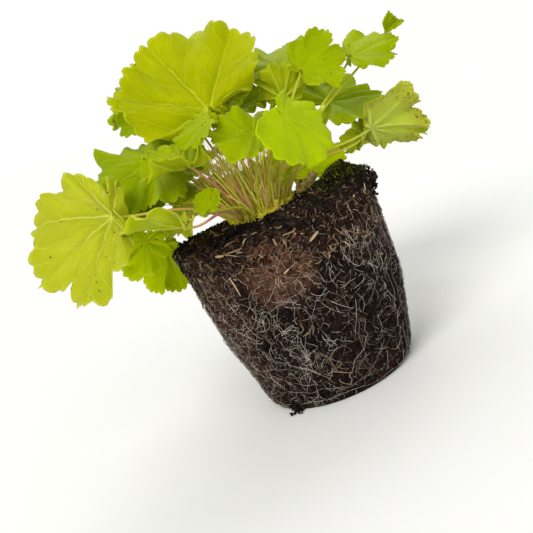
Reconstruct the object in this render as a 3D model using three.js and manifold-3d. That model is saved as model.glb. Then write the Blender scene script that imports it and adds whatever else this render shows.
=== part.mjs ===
// Heuchera plant with a bare root ball, standing on the flat base of the ball.
// Millimetres, +Z up, origin at the centre of the base, front of the plant at -Y.
import * as THREE from 'three';
import Module from 'manifold-3d';

const wasm = await Module();
wasm.setup();

// ---- driving dimensions -------------------------------------------------

// Root ball: a plug from a round nursery pot, narrower at the base.
const BALL_HEIGHT = 86;
const BALL_PROFILE = [[0, 34.8], [0.02, 36], [0.12, 38.6], [0.25, 41], [0.4, 43.6],
  [0.53, 45], [0.66, 46.2], [0.78, 47.2], [0.9, 48.6], [0.97, 49.8], [1, 49.2]];
const BALL_SIDES = 40;
// How much less the ball bulges at the top of its right side.
const RIGHT_SLIM = 2.8;
const TOP_RINGS = [0.92, 0.77, 0.58, 0.3];
const BACK_DIP = 4.5;
const SOIL_LEVEL = 84.5;
const SOIL_DOME = 2.5;
// Soil mounds on top: x, y, spread, height.
const MOUNDS = [[37, -3, 11, 8], [-27, -13, 7, 3.5], [22, -16, 9, 2.5], [-38, -14, 7, 2]];

// Crown: the low dome of old leaf bases in the middle of the soil.
const CROWN = new THREE.Vector3(-5, 0, 84);
const CROWN_RADIUS = 16;
const CROWN_DOME = 7.5;
const CROWN_FALL = 0.42;
const CROWN_SIDES = 16;
const SEAT_GAP = 0.3;
// Top of the block that cuts the seat, clear above the soil.
const SEAT_TOP = 106;
// Stubs of cut leaf stems round the crown: direction in degrees, length.
const STUBS = [[-62, 6], [-118, 4.5], [18, 5], [92, 5.5], [152, 4]];
const STUB_INSET = 2.2;
const STUB_SINK = 2;
const STUB_RADII = [1.3, 1.1];

// Leaves.
const BLADE_THICK = 0.62;
const STEM_FOOT_RADIUS = 0.95;
const STEM_TOP_RADIUS = 0.7;
const STEM_SIDES = 4;
const HOLE_SIDES = 5;
const STEM_STEPS = 5;
const FOOT_LENGTH = 6;
const FOOT_DEPTH = 2.2;
const HOLE_LENGTH = 14;
const TOOTH = 14.4;
const TEETH = 21;
const LOBE = 3 * TOOTH;
const EDGE = TOOTH * TEETH / 2;
// The blade's inner ring of points, as a share of its reach.
const INNER_RING = 0.52;

// One row a leaf: hub x, y, z above the soil line, heading and rise of the tip, roll about
// the midrib, width, droop of the tip, droop of the sides, fold along the midrib, ruffle of
// the margin, its phase, and the foot of the stem as ring radius and direction in the crown,
// 1 for a finely toothed margin, the size of the left and right basal lobes, and the depth
// of the notches.
const LEAVES = {
  leaf_top_left: [-8.6, 6, 53.5, 109, 52, 16, 89, 8, 4, 0.1, 2.4, 1, 4, 150, 1, 0.45, 0.2, 0.08],
  leaf_behind_left: [-24.5, 44, 68, 176, 4, 28, 60, 20, 20, 0.1, 2.2, 2, 7, 120, 1, 1, 1, 0.2],
  leaf_mid_left: [-41.4, 8, 42, 187, 0, 30, 64, 24, 34, 0.1, 2, 3, 8, 176, 1, 1, 1, 0.12],
  leaf_far_left: [-65, -25, 29, 186, -15, 36, 84, 16, 14, 0.1, 2.6, 4, 13, 200, 1, 0.12, 0.6,
    0.2],
  leaf_front_left: [-37.2, -45, 15.6, 184, 21, -10, 52, 8, 0, 0.15, 1.6, 5, 12.5, 230, 0, 0.3,
    0.3, 0.12],
  leaf_low_left: [-61, 10, 9, 200, -52, 40, 30, 20, 10, 0.1, 1.6, 6, 13, 182, 0, 1, 1, 0.18],
  leaf_hanging_left: [-56, 34, 1, 203, -48, 60, 46, 14, 12, 0.1, 1.8, 7, 12.5, 152, 1, 0.4,
    0.4, 0.18],
  leaf_front_small: [4.4, -32, 38.0, 188, 14, 55, 32, 14, 10, 0.3, 1.5, 8, 8, 266, 1, 0.5, 0.5,
    0.1],
  leaf_front_narrow: [-10, -26, 50.6, 186, -17, 20, 32, 14, 10, 0.15, 1.0, 9, 8, 236, 0, 0.3,
    0.3, 0.1],
  leaf_inner_left: [-26, -23.5, 36, 182, 12, 8, 42, 4, -35, 0.1, 1.6, 10, 8.5, 212, 0, 1, 1,
    0.12],
  leaf_front_bright: [19, -34, 39, 315, -62, 0, 46, 14, 14, 0, 1.6, 11, 9, 292, 0, 1, 0.6, 0.09],
  leaf_funnel: [26, 15, 45, 250, 64, 0, 31, -10, -30, 0.2, 1.6, 12, 6, 40, 0, 0.8, 0.8, 0.12],
  leaf_upper_right: [37, 5, 52.7, 355, 2, -55, 41, 12, -14, 0.15, 1.6, 13, 7, 2, 1, 0.45, 0.0,
    0.24],
  leaf_top_right: [61.2, 8, 50, 4, 3, -32, 40, 14, 16, 0.1, 1.6, 14, 9, 344, 1, 0, 0.3, 0.12],
  leaf_tiny_right: [83, 17, 54, 10, 18, -62, 15, 10, 6, 1.2, 0.7, 15, 10, 22, 0, 0, 0, 0.12],
  leaf_far_right: [58.7, 10, 16, 352, -9, 44, 52, 14, 6, 0.1, 1.8, 16, 13, 8, 1, 0.4, 0.3, 0.24],
  leaf_behind_right: [48, 31, 33, 20, 5, -30, 50, 20, 10, 0.1, 1.8, 17, 10, 42, 0, 1, 1, 0.12],
  leaf_low_right: [27.5, 40, 3, 75, 32, -8, 46, 10, 8, 0.1, 1.8, 18, 13, 64, 0, 0.6, 0.6, 0.12],
  leaf_heart: [4, 31, 48, 85, 30, 0, 42, 10, 8, 0.1, 1.8, 19, 5, 82, 0, 1, 1, 0.13],
  leaf_shade_left: [-50, 14, 28, 175, 5, 25, 50, 20, 10, 0.1, 1.8, 20, 11, 168, 0, 1, 1, 0.14],
  leaf_shade_front: [-24, -7, 21, 176, 12, 20, 26, 20, -10, 0.1, 1.4, 21, 12.5, 214, 0, 1, 1,
    0.14],
  leaf_back_left: [-40, 44, 26, 140, 0, 0, 58, 30, 14, 0.1, 2, 22, 12.5, 128, 0, 1, 1, 0.14],
  leaf_back: [-14, 57, 32, 108, 5, 0, 64, 30, 14, 0.1, 2.2, 23, 9.5, 98, 0, 1, 1, 0.12],
  leaf_back_right: [29, 61.5, 36, 52, 5, 0, 56, 30, 14, 0.1, 2, 24, 9.5, 66, 0, 1, 1, 0.14],
  leaf_back_top: [30, 38, 60, 60, 25, 0, 46, 16, 10, 0.1, 2, 25, 2, 60, 0, 1, 1, 0.13],
  leaf_back_low: [4, 61, 13, 92, -40, 0, 52, 14, 12, 0.1, 1.8, 26, 13, 92, 0, 0.5, 0.5, 0.14],
  leaf_right_low: [66, 44, 7, 30, -12, 0, 48, 24, 12, 0.1, 1.8, 27, 13, 36, 0, 1, 1, 0.14],
  leaf_back_far_left: [-34, 64, 10, 122, -30, 0, 52, 14, 12, 0.1, 1.8, 28, 13, 110, 0, 1, 1,
    0.14],
  leaf_young_right: [13, -9, 13, 340, 55, 0, 16, 10, 20, 0.3, 0.8, 31, 12, 330, 0, 1, 1, 0.12],
  leaf_shade_top: [1.5, 17, 54, 80, 40, 0, 28, 14, 10, 0.1, 1.6, 29, 4, 225, 0, 0.8, 0.8, 0.12],
  leaf_front_cup: [-25, -35, 17.6, 60, 48, 0, 16, -14, -20, 0.1, 0.8, 32, 13.5, 260, 0, 1, 1,
    0.12],
  leaf_small_right: [56, 21, 13.5, 196, 4, -50, 24, 14, 10, 0.1, 0.8, 33, 13.5, 21, 0, 0.8,
    0.8, 0.16],
};

// Withered leaf on the soil: centre x, y, heading, width.
const DRY_LEAF = { x: 19, y: -3, heading: 35, width: 17 };

// Roots over the side of the ball.
const ROOT_RADIUS = 0.65;
const ROOT_LIFT = 1.25;
const STRANDS = 15;
const STRAND_STEPS = 8;
const RING_HEIGHT = 8;
const RING_RADIUS = 0.7;
const RING_SIDES = 4;
const RING_STEPS = 30;

// ---- solids and meshes --------------------------------------------------

// Detail smaller than this is smoothed away.
const FINEST = 0.05;

const rad = (degrees) => degrees * Math.PI / 180;

function solid(points, faces) {
  const positions = new Float32Array(points.flatMap((p) => [p.x, p.y, p.z]));
  const indices = new Uint32Array(faces.flat());
  return new wasm.Manifold(new wasm.Mesh({
    numProp: 3, vertProperties: positions, triVerts: indices,
  }));
}

const group = new THREE.Group();

function place(name, shape, color, roughness) {
  const mesh = shape.getMesh();
  const geometry = new THREE.BufferGeometry();
  geometry.setAttribute('position',
    new THREE.BufferAttribute(new Float32Array(mesh.vertProperties), 3));
  geometry.setIndex(new THREE.BufferAttribute(new Uint32Array(mesh.triVerts), 1));
  geometry.computeVertexNormals();
  const material = new THREE.MeshStandardMaterial({ color, roughness });
  material.name = `${name}_surface`;
  const part = new THREE.Mesh(geometry, material);
  part.name = name;
  group.add(part);
}

// Closed skin over a stack of rings with the same number of points, capped at both ends.
function skin(rings, first, last) {
  const sides = rings[0].length;
  const points = rings.flat();
  const bottom = points.push(first) - 1;
  const top = points.push(last) - 1;
  const faces = [];
  for (let r = 0; r + 1 < rings.length; r += 1) {
    for (let i = 0; i < sides; i += 1) {
      const next = (i + 1) % sides;
      const a = r * sides + i;
      const b = r * sides + next;
      const c = a + sides;
      const d = b + sides;
      if ((r + i) % 2) {
        faces.push([a, b, d], [a, d, c]);
      } else {
        faces.push([a, b, c], [b, d, c]);
      }
    }
  }
  const end = (rings.length - 1) * sides;
  for (let i = 0; i < sides; i += 1) {
    const next = (i + 1) % sides;
    faces.push([bottom, next, i], [top, end + i, end + next]);
  }
  return solid(points, faces);
}

// Round bar along a path, with a radius for each point of the path.
function bar(path, radii, sides) {
  const rings = [];
  let across = new THREE.Vector3(0.31, 0.9, 0.17);
  path.forEach((point, i) => {
    const before = path[Math.max(0, i - 1)];
    const after = path[Math.min(path.length - 1, i + 1)];
    const along = after.clone().sub(before).normalize();
    across = across.clone().addScaledVector(along, -across.dot(along)).normalize();
    const up = along.clone().cross(across);
    const ring = [];
    for (let k = 0; k < sides; k += 1) {
      const turn = 2 * Math.PI * k / sides;
      ring.push(point.clone()
        .addScaledVector(across, radii[i] * Math.cos(turn))
        .addScaledVector(up, radii[i] * Math.sin(turn)));
    }
    rings.push(ring);
  });
  return skin(rings, path[0].clone(), path[path.length - 1].clone());
}

// ---- root ball ----------------------------------------------------------

function profileRadius(part) {
  const upper = Math.max(1, BALL_PROFILE.findIndex(([height]) => height >= part));
  const [h0, r0] = BALL_PROFILE[upper - 1];
  const [h1, r1] = BALL_PROFILE[upper];
  return r0 + (r1 - r0) * (part - h0) / (h1 - h0);
}

// Lumps of the side, fading out toward the flat base.
function lump(turn, part) {
  const waves = 0.55 * Math.sin(3 * turn + 5 * part + 0.6)
    + 0.4 * Math.sin(7 * turn - 9 * part + 2.1)
    + 0.3 * Math.sin(11 * turn + 14 * part + 4.2);
  return waves * Math.min(1, 6 * part);
}

const rimHeight = (turn) => BALL_HEIGHT - BACK_DIP * Math.max(0, Math.sin(turn)) ** 1.5
  + 0.5 * Math.sin(5 * turn + 1) + 0.4 * Math.sin(9 * turn);

const sideRadius = (turn, part) => profileRadius(part) + lump(turn, part)
  - RIGHT_SLIM * Math.max(0, Math.cos(turn)) * part ** 3;

function soilHeight(x, y) {
  const turn = Math.atan2(y, x);
  const out = Math.min(1, Math.hypot(x, y) / sideRadius(turn, 1));
  const level = SOIL_LEVEL + (rimHeight(turn) - SOIL_LEVEL) * out ** 2;
  const mounds = MOUNDS.reduce((sum, [mx, my, spread, height]) => sum
    + height * Math.exp(-((x - mx) ** 2 + (y - my) ** 2) / (spread * spread)), 0);
  const fade = Math.min(1, 5 * (1 - out));
  return level + SOIL_DOME * (1 - out ** 2) + mounds * (0.35 + 0.65 * fade)
    + 0.5 * fade * Math.sin(0.33 * x + 1) * Math.sin(0.29 * y);
}

function ballPoint(turn, part) {
  const radius = sideRadius(turn, part);
  const x = radius * Math.cos(turn);
  const y = radius * Math.sin(turn);
  const lift = soilHeight(x, y) - rimHeight(turn);
  return new THREE.Vector3(x, y, part * rimHeight(turn) + lift * part ** 8);
}

const turns = Array.from({ length: BALL_SIDES }, (_, i) => 2 * Math.PI * i / BALL_SIDES);
const ballRings = BALL_PROFILE.map(([part]) => turns.map((turn) => ballPoint(turn, part)));
TOP_RINGS.forEach((inward) => ballRings.push(turns.map((turn) => {
  const radius = inward * sideRadius(turn, 1);
  const x = radius * Math.cos(turn);
  const y = radius * Math.sin(turn);
  return new THREE.Vector3(x, y, soilHeight(x, y));
})));
const ball = skin(ballRings, new THREE.Vector3(0, 0, 0),
  new THREE.Vector3(0, 0, soilHeight(0, 0)));

// Upright round block, used for the seat of the crown.
function post(centre, radius, bottom, top, sides) {
  const ring = (z) => Array.from({ length: sides }, (_, i) => {
    const turn = 2 * Math.PI * i / sides;
    return new THREE.Vector3(centre.x + radius * Math.cos(turn),
      centre.y + radius * Math.sin(turn), z);
  });
  return skin([ring(bottom), ring(top)], new THREE.Vector3(centre.x, centre.y, bottom),
    new THREE.Vector3(centre.x, centre.y, top));
}

const crownSeat = post(CROWN, CROWN_RADIUS + SEAT_GAP, CROWN.z - SEAT_GAP,
  SEAT_TOP, CROWN_SIDES);

// ---- leaves -------------------------------------------------------------

// Reach of the blade from its hub in each direction, for a leaf of half width 1.
const REACH = [[0, 1.1], [43.2, 1.07], [86.4, 0.98], [129.6, 0.72], [151.2, 0.52],
  [165.6, 0.32], [180, 0.13]];
// Rise of the margin at the tip of a tooth and fall between two teeth.
const TOOTH_RISE = 0.022;
const TOOTH_FALL = 0.035;
// Lobes turn a little out of an even fan, by so many degrees.
const WARP = [3.5, 2.5];

function fanAngle(angle, row) {
  return angle + WARP[0] * Math.sin(rad(2 * angle) + 1.3 * row[11])
    + WARP[1] * Math.sin(rad(3 * angle) + 2.1 * row[11]);
}

function reach(angle, tooth, row) {
  const phase = row[11];
  const basal = angle > 0 ? row[15] : row[16];
  const notch = row[17];
  const turn = Math.abs(angle);
  const upper = Math.max(1, REACH.findIndex(([limit]) => limit >= turn - 1e-9));
  const [a0, r0] = REACH[upper - 1];
  const [a1, r1] = REACH[upper];
  const part = (turn - a0) / (a1 - a0);
  const shrink = 1 - (1 - basal) * Math.min(1, Math.max(0, (turn / LOBE - 1.4) / 1.2));
  const uneven = 1 + 0.04 * Math.sin(rad(2 * angle) + phase)
    + 0.03 * Math.sin(rad(3 * angle) + 2.3 * phase);
  const size = shrink * uneven * (r0 + (r1 - r0) * part * part * (3 - 2 * part));
  if (turn > EDGE) return size;
  const fromVein = Math.abs(((turn + LOBE / 2) % LOBE) - LOBE / 2) / (LOBE / 2);
  return size * (1 - notch * fromVein ** 3.6 + tooth);
}

const bendLine = (along, lift, curve) => {
  if (Math.abs(curve) < 1e-6) return [along, lift];
  const turn = along * curve;
  return [Math.sin(turn) / curve + lift * Math.sin(turn),
    (Math.cos(turn) - 1) / curve + lift * Math.cos(turn)];
};

function leafFrame([, , , heading, rise, roll]) {
  const h = rad(heading);
  const e = rad(rise);
  const tip = new THREE.Vector3(Math.cos(e) * Math.cos(h), Math.cos(e) * Math.sin(h),
    Math.sin(e));
  const flatLeft = new THREE.Vector3(-Math.sin(h), Math.cos(h), 0);
  const flatFace = tip.clone().cross(flatLeft);
  const face = flatFace.clone().multiplyScalar(Math.cos(rad(roll)))
    .addScaledVector(flatLeft, Math.sin(rad(roll)));
  const left = face.clone().cross(tip);
  return { tip, left, face };
}

// Point of the middle surface of a blade, from its flat place x along the midrib and y left.
function bladePoint(row, frame, x, y) {
  const [hx, hy, hz, , , , width, droop, sides, fold, ruffle, phase] = row;
  const half = width / 2;
  const turn = Math.atan2(y, x);
  const wave = Math.sin(3 * turn + phase) + 0.6 * Math.sin(5 * turn + 1.7 * phase)
    + 0.35 * Math.sin(8 * turn + 0.6 * phase);
  const crease = 0.08 * half;
  const lift = 0.6 * ruffle * wave * (Math.hypot(x, y) / half) ** 2.2
    + fold * (Math.hypot(y, crease) - crease);
  const [y1, z1] = bendLine(y / Math.hypot(1, fold), lift, rad(sides) / half);
  const [x1, z2] = bendLine(x, z1, rad(droop) / half);
  return new THREE.Vector3(hx, hy, hz + BALL_HEIGHT)
    .addScaledVector(frame.tip, x1)
    .addScaledVector(frame.left, y1)
    .addScaledVector(frame.face, z2);
}

// Triangles between two closed rings that are both sorted by angle.
function stitch(inner, outer, innerStart, outerStart) {
  const faces = [];
  let i = 0;
  let j = 0;
  while (i < inner.length || j < outer.length) {
    const nextInner = i + 1 < inner.length ? inner[i + 1] : 180;
    const nextOuter = j + 1 < outer.length ? outer[j + 1] : 180;
    const a = innerStart + (i % inner.length);
    const b = outerStart + (j % outer.length);
    if (j >= outer.length || (i < inner.length && nextInner < nextOuter)) {
      faces.push([a, b, innerStart + ((i + 1) % inner.length)]);
      i += 1;
    } else {
      faces.push([a, b, outerStart + ((j + 1) % outer.length)]);
      j += 1;
    }
  }
  return faces;
}

function bladeSolid(row, frame, fine) {
  const half = row[6] / 2;
  const inner = [-180, -EDGE];
  for (let angle = -6; angle <= 6; angle += 1) inner.push(angle * LOBE / 2);
  inner.push(EDGE);
  const outer = [[-180, 0], [-EDGE - TOOTH, 0]];
  const notches = [[0, -TOOTH_FALL]].concat(fine
    ? [[0.3, TOOTH_RISE], [0.7, TOOTH_RISE]] : [[0.5, TOOTH_RISE]]);
  for (let tooth = 0; tooth < TEETH; tooth += 1) {
    notches.forEach(([part, depth]) => outer.push([-EDGE + (tooth + part) * TOOTH, depth]));
  }
  outer.push([EDGE, -TOOTH_FALL], [EDGE + TOOTH, 0]);
  const flat = [[0, 0]];
  inner.forEach((angle) => {
    const size = INNER_RING * half * reach(angle, 0, row);
    const turn = rad(fanAngle(angle, row));
    flat.push([size * Math.cos(turn), size * Math.sin(turn)]);
  });
  outer.forEach(([angle, depth]) => {
    const size = half * reach(angle, depth, row);
    const turn = rad(fanAngle(angle, row));
    flat.push([size * Math.cos(turn), size * Math.sin(turn)]);
  });
  const upper = [];
  const lower = [];
  flat.forEach(([x, y]) => {
    const at = bladePoint(row, frame, x, y);
    const step = 0.2;
    const ahead = bladePoint(row, frame, x + step, y)
      .sub(bladePoint(row, frame, x - step, y));
    const aside = bladePoint(row, frame, x, y + step)
      .sub(bladePoint(row, frame, x, y - step));
    const normal = ahead.cross(aside).normalize();
    upper.push(at.clone().addScaledVector(normal, BLADE_THICK / 2));
    lower.push(at.clone().addScaledVector(normal, -BLADE_THICK / 2));
  });
  const faces = [];
  for (let i = 0; i < inner.length; i += 1) {
    faces.push([0, 1 + i, 1 + ((i + 1) % inner.length)]);
  }
  faces.push(...stitch(inner, outer.map(([angle]) => angle), 1, 1 + inner.length));
  const count = flat.length;
  const all = faces.concat(faces.map(([a, b, c]) => [a + count, c + count, b + count]));
  const start = 1 + inner.length;
  for (let i = 0; i < outer.length; i += 1) {
    const a = start + i;
    const b = start + ((i + 1) % outer.length);
    all.push([b, a, a + count], [b, a + count, b + count]);
  }
  return solid(upper.concat(lower), all);
}

// Foot of a stem in the crown and the direction in which it leaves.
function stemFoot(row) {
  const [hx, hy, hz, , , , , , , , , , ring, direction] = row;
  const foot = new THREE.Vector3(CROWN.x + ring * Math.cos(rad(direction)),
    CROWN.y + ring * Math.sin(rad(direction)), CROWN.z + FOOT_DEPTH);
  const away = new THREE.Vector3(hx - foot.x, hy - foot.y, 0);
  const spread = Math.min(0.7, 0.75 * away.length() / (hz + 12));
  const leave = away.normalize().multiplyScalar(spread);
  leave.z = 1;
  return { foot, leave: leave.normalize() };
}

function stemPath(row, frame) {
  const { foot, leave } = stemFoot(row);
  const hub = new THREE.Vector3(row[0], row[1], row[2] + BALL_HEIGHT)
    .addScaledVector(frame.face, -0.1);
  const start = foot.clone().addScaledVector(leave, FOOT_LENGTH);
  const span = hub.clone().sub(start);
  const reachOut = span.length();
  const arrive = span.normalize().multiplyScalar(0.75)
    .addScaledVector(frame.tip, 0.3).addScaledVector(frame.face, 0.35).normalize();
  const second = start.clone().addScaledVector(leave, 0.38 * reachOut);
  const third = hub.clone().addScaledVector(arrive, -0.3 * reachOut);
  const path = [foot];
  for (let i = 0; i <= STEM_STEPS; i += 1) {
    const s = i / STEM_STEPS;
    const t = 1 - s;
    path.push(start.clone().multiplyScalar(t * t * t)
      .addScaledVector(second, 3 * s * t * t)
      .addScaledVector(third, 3 * s * s * t)
      .addScaledVector(hub, s * s * s));
  }
  return path;
}

function stemSolid(row, frame) {
  const path = stemPath(row, frame);
  const last = path.length - 1;
  const radii = path.map((_, i) => STEM_FOOT_RADIUS
    + (STEM_TOP_RADIUS - STEM_FOOT_RADIUS) * i / last);
  return bar(path, radii, STEM_SIDES);
}

// Plain hole for the foot of a stem.
function stemHole(row) {
  const { foot, leave } = stemFoot(row);
  const path = [foot.clone().addScaledVector(leave, -SEAT_GAP),
    foot.clone().addScaledVector(leave, HOLE_LENGTH)];
  const radius = (STEM_FOOT_RADIUS + SEAT_GAP) / Math.cos(Math.PI / HOLE_SIDES);
  return bar(path, [radius, radius], HOLE_SIDES);
}

// ---- crown --------------------------------------------------------------

function crownHeight(out) {
  return CROWN.z + CROWN_DOME * (1 - CROWN_FALL * out ** 2);
}

function crownRing(part, z) {
  return Array.from({ length: CROWN_SIDES }, (_, i) => {
    const turn = 2 * Math.PI * i / CROWN_SIDES;
    const radius = part * CROWN_RADIUS;
    return new THREE.Vector3(CROWN.x + radius * Math.cos(turn),
      CROWN.y + radius * Math.sin(turn), z + (part < 1 ? 0.3 * Math.sin(5 * turn + 8 * part) : 0));
  });
}

let crown = skin([crownRing(1, CROWN.z), crownRing(1, crownHeight(1)),
  crownRing(0.7, crownHeight(0.7)), crownRing(0.36, crownHeight(0.36))],
CROWN.clone(), new THREE.Vector3(CROWN.x, CROWN.y, crownHeight(0)));
STUBS.forEach(([direction, length]) => {
  const outward = new THREE.Vector3(Math.cos(rad(direction)), Math.sin(rad(direction)), 0);
  const from = CROWN.clone().addScaledVector(outward, CROWN_RADIUS - STUB_INSET);
  from.z += STUB_SINK;
  const to = from.clone().addScaledVector(outward, 0.5 * length);
  to.z += length + STUB_SINK;
  crown = crown.add(bar([from, to], STUB_RADII, HOLE_SIDES + 1));
});

// ---- withered leaf ------------------------------------------------------

function dryLeafSolid() {
  const { x, y, heading, width } = DRY_LEAF;
  const row = [x, y, soilHeight(x, y) - BALL_HEIGHT + 2.2, heading, 6, 20, width, -35, -75, 0.1,
    0.6, 3, 0, 0, 0, 1, 1, 0.2];
  return bladeSolid(row, leafFrame(row), false);
}

// ---- roots --------------------------------------------------------------

function rootPoint(turn, height) {
  const part = Math.min(1, height / rimHeight(turn));
  const radius = sideRadius(turn, part) + ROOT_LIFT;
  return new THREE.Vector3(radius * Math.cos(turn), radius * Math.sin(turn), height);
}

function rootNet() {
  const ring = [];
  for (let i = 0; i < RING_STEPS; i += 1) {
    const turn = 2 * Math.PI * i / RING_STEPS;
    ring.push(rootPoint(turn, RING_HEIGHT + 2 * Math.sin(2 * turn) + 1.2 * Math.sin(5 * turn)));
  }
  const rings = ring.map((point) => {
    const outward = new THREE.Vector3(point.x, point.y, 0).normalize();
    return Array.from({ length: RING_SIDES }, (_, k) => {
      const turn = 2 * Math.PI * k / RING_SIDES;
      return point.clone().addScaledVector(outward, RING_RADIUS * Math.cos(turn))
        .add(new THREE.Vector3(0, 0, RING_RADIUS * Math.sin(turn)));
    });
  });
  const points = rings.flat();
  const faces = [];
  for (let r = 0; r < RING_STEPS; r += 1) {
    const next = (r + 1) % RING_STEPS;
    for (let k = 0; k < RING_SIDES; k += 1) {
      const k2 = (k + 1) % RING_SIDES;
      const a = r * RING_SIDES;
      const b = next * RING_SIDES;
      faces.push([a + k, b + k, b + k2], [a + k, b + k2, a + k2]);
    }
  }
  let net = solid(points, faces);
  for (let i = 0; i < STRANDS; i += 1) {
    const start = 2 * Math.PI * (i + 0.35 * Math.sin(7 * i)) / STRANDS;
    const drift = 0.4 * Math.sin(2.4 * i + 1);
    const top = BALL_HEIGHT * (0.62 + 0.26 * Math.sin(4.1 * i));
    const foot = RING_HEIGHT + 2 * Math.sin(2 * (start + drift))
      + 1.2 * Math.sin(5 * (start + drift));
    const path = [];
    for (let k = 0; k <= STRAND_STEPS; k += 1) {
      const s = k / STRAND_STEPS;
      const sway = 0.1 * Math.sin(6 * s + i) * Math.sin(Math.PI * s);
      path.push(rootPoint(start + drift * s + sway, top + (foot - top) * s));
    }
    const radii = path.map((_, k) => ROOT_RADIUS * (0.75 + 0.25 * k / STRAND_STEPS));
    net = net.add(bar(path, radii, 3));
  }
  return net.simplify(FINEST);
}

// ---- assembly -----------------------------------------------------------

place('root_ball', ball.subtract(crownSeat), 0x2a1c15, 0.95);
place('root_net', rootNet(), 0xb8a58c, 0.8);
Object.values(LEAVES).forEach((row) => {
  crown = crown.subtract(stemHole(row));
});
// Crumbs cut loose between the holes fall away.
const [crownBody] = crown.decompose().sort((a, b) => b.volume() - a.volume());
place('crown', crownBody.simplify(FINEST), 0x5a4630, 0.85);
place('dry_leaf', dryLeafSolid(), 0x7a5a34, 0.85);
Object.entries(LEAVES).forEach(([name, row]) => {
  const frame = leafFrame(row);
  const leaf = bladeSolid(row, frame, row[14] === 1).add(stemSolid(row, frame));
  place(name, leaf.simplify(FINEST), 0x9fb020, 0.5);
});

export default group;
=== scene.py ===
"""Heuchera plant with a bare root ball, dressed round its frame of solids. Metres, +Z up."""
import math
from collections import namedtuple

import bpy
import numpy as np
from mathutils import Matrix, Vector, noise


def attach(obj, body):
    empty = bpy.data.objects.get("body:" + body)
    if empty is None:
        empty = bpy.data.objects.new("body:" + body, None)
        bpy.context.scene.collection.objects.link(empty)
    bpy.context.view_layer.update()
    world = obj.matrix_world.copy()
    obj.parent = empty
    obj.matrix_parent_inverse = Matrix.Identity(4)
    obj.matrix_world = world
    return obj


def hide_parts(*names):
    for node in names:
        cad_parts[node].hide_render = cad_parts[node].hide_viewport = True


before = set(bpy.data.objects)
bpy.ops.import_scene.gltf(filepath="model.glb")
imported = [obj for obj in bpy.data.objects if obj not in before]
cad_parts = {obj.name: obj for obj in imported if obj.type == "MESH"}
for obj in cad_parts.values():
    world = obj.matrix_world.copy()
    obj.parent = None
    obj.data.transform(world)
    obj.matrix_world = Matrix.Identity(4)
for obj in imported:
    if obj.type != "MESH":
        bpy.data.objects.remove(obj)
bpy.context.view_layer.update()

MM = 0.001
# Vertices nearer than this, in metres, are merged.
DOUBLES_APART = 5e-7

# ---- sizes of the plant, in millimetres ---------------------------------

BALL_HEIGHT = 86
# Radius of the ball by share of its height.
BALL_PROFILE = [(0, 34.8), (0.02, 36), (0.12, 38.6), (0.25, 41), (0.4, 43.6), (0.53, 45),
                (0.66, 46.2), (0.78, 47.2), (0.9, 48.6), (0.97, 49.8), (1, 49.2)]
# How much less the ball bulges at the top of its right side.
RIGHT_SLIM = 2.8
# How far the rim dips at the back, the level of the soil and the rise of its middle.
BACK_DIP = 4.5
SOIL_LEVEL = 84.5
SOIL_DOME = 2.5
# Soil mounds: x, y, spread, height.
MOUNDS = [(37, -3, 11, 8), (-27, -13, 7, 3.5), (22, -16, 9, 2.5), (-38, -14, 7, 2)]
# Rusty patch on the front of the ball, with the half width and half height of its finish.
RUST_X, RUST_HEIGHT = -9, 69
RUST_REACH = (16, 17)

# The crown: its middle, radius and rise, and the share of the rise that its edge loses.
CROWN = np.array((-5.0, 0.0, 84.0))
CROWN_RADIUS = 16
CROWN_DOME = 7.5
CROWN_FALL = 0.42
# Stubs of cut leaf stems: direction in degrees, length.
STUBS = [(-62, 6), (-118, 4.5), (18, 5), (92, 5.5), (152, 4)]

# Stem of a leaf: its radii, the length of its straight foot and how far the foot starts above
# the middle of the crown.
STEM_FOOT_RADIUS = 0.703
STEM_TOP_RADIUS = 0.518
FOOT_LENGTH = 6
FOOT_RISE = 2.2
# Degrees of a tooth, of a lobe and from the tip to the last tooth.
TOOTH = 14.4
TEETH = 21
LOBE = 3 * TOOTH
EDGE = TOOTH * TEETH / 2
# Reach of a blade from its hub by direction, for a half width of 1.
REACH = np.array([(0, 1.1), (43.2, 1.07), (86.4, 0.98), (129.6, 0.72), (151.2, 0.52),
                  (165.6, 0.32), (180, 0.13)])
# Height and setback of the teeth and the dent of a fine one, for a half width of 1.
TOOTH_RISE = 0.022
TOOTH_FALL = 0.035
TOOTH_DENT = 0.052
# Lobes turn a little out of an even fan, and teeth out of an even row, by so many degrees.
WARP = (3.5, 2.5)
TOOTH_WARP = 1.3

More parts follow.
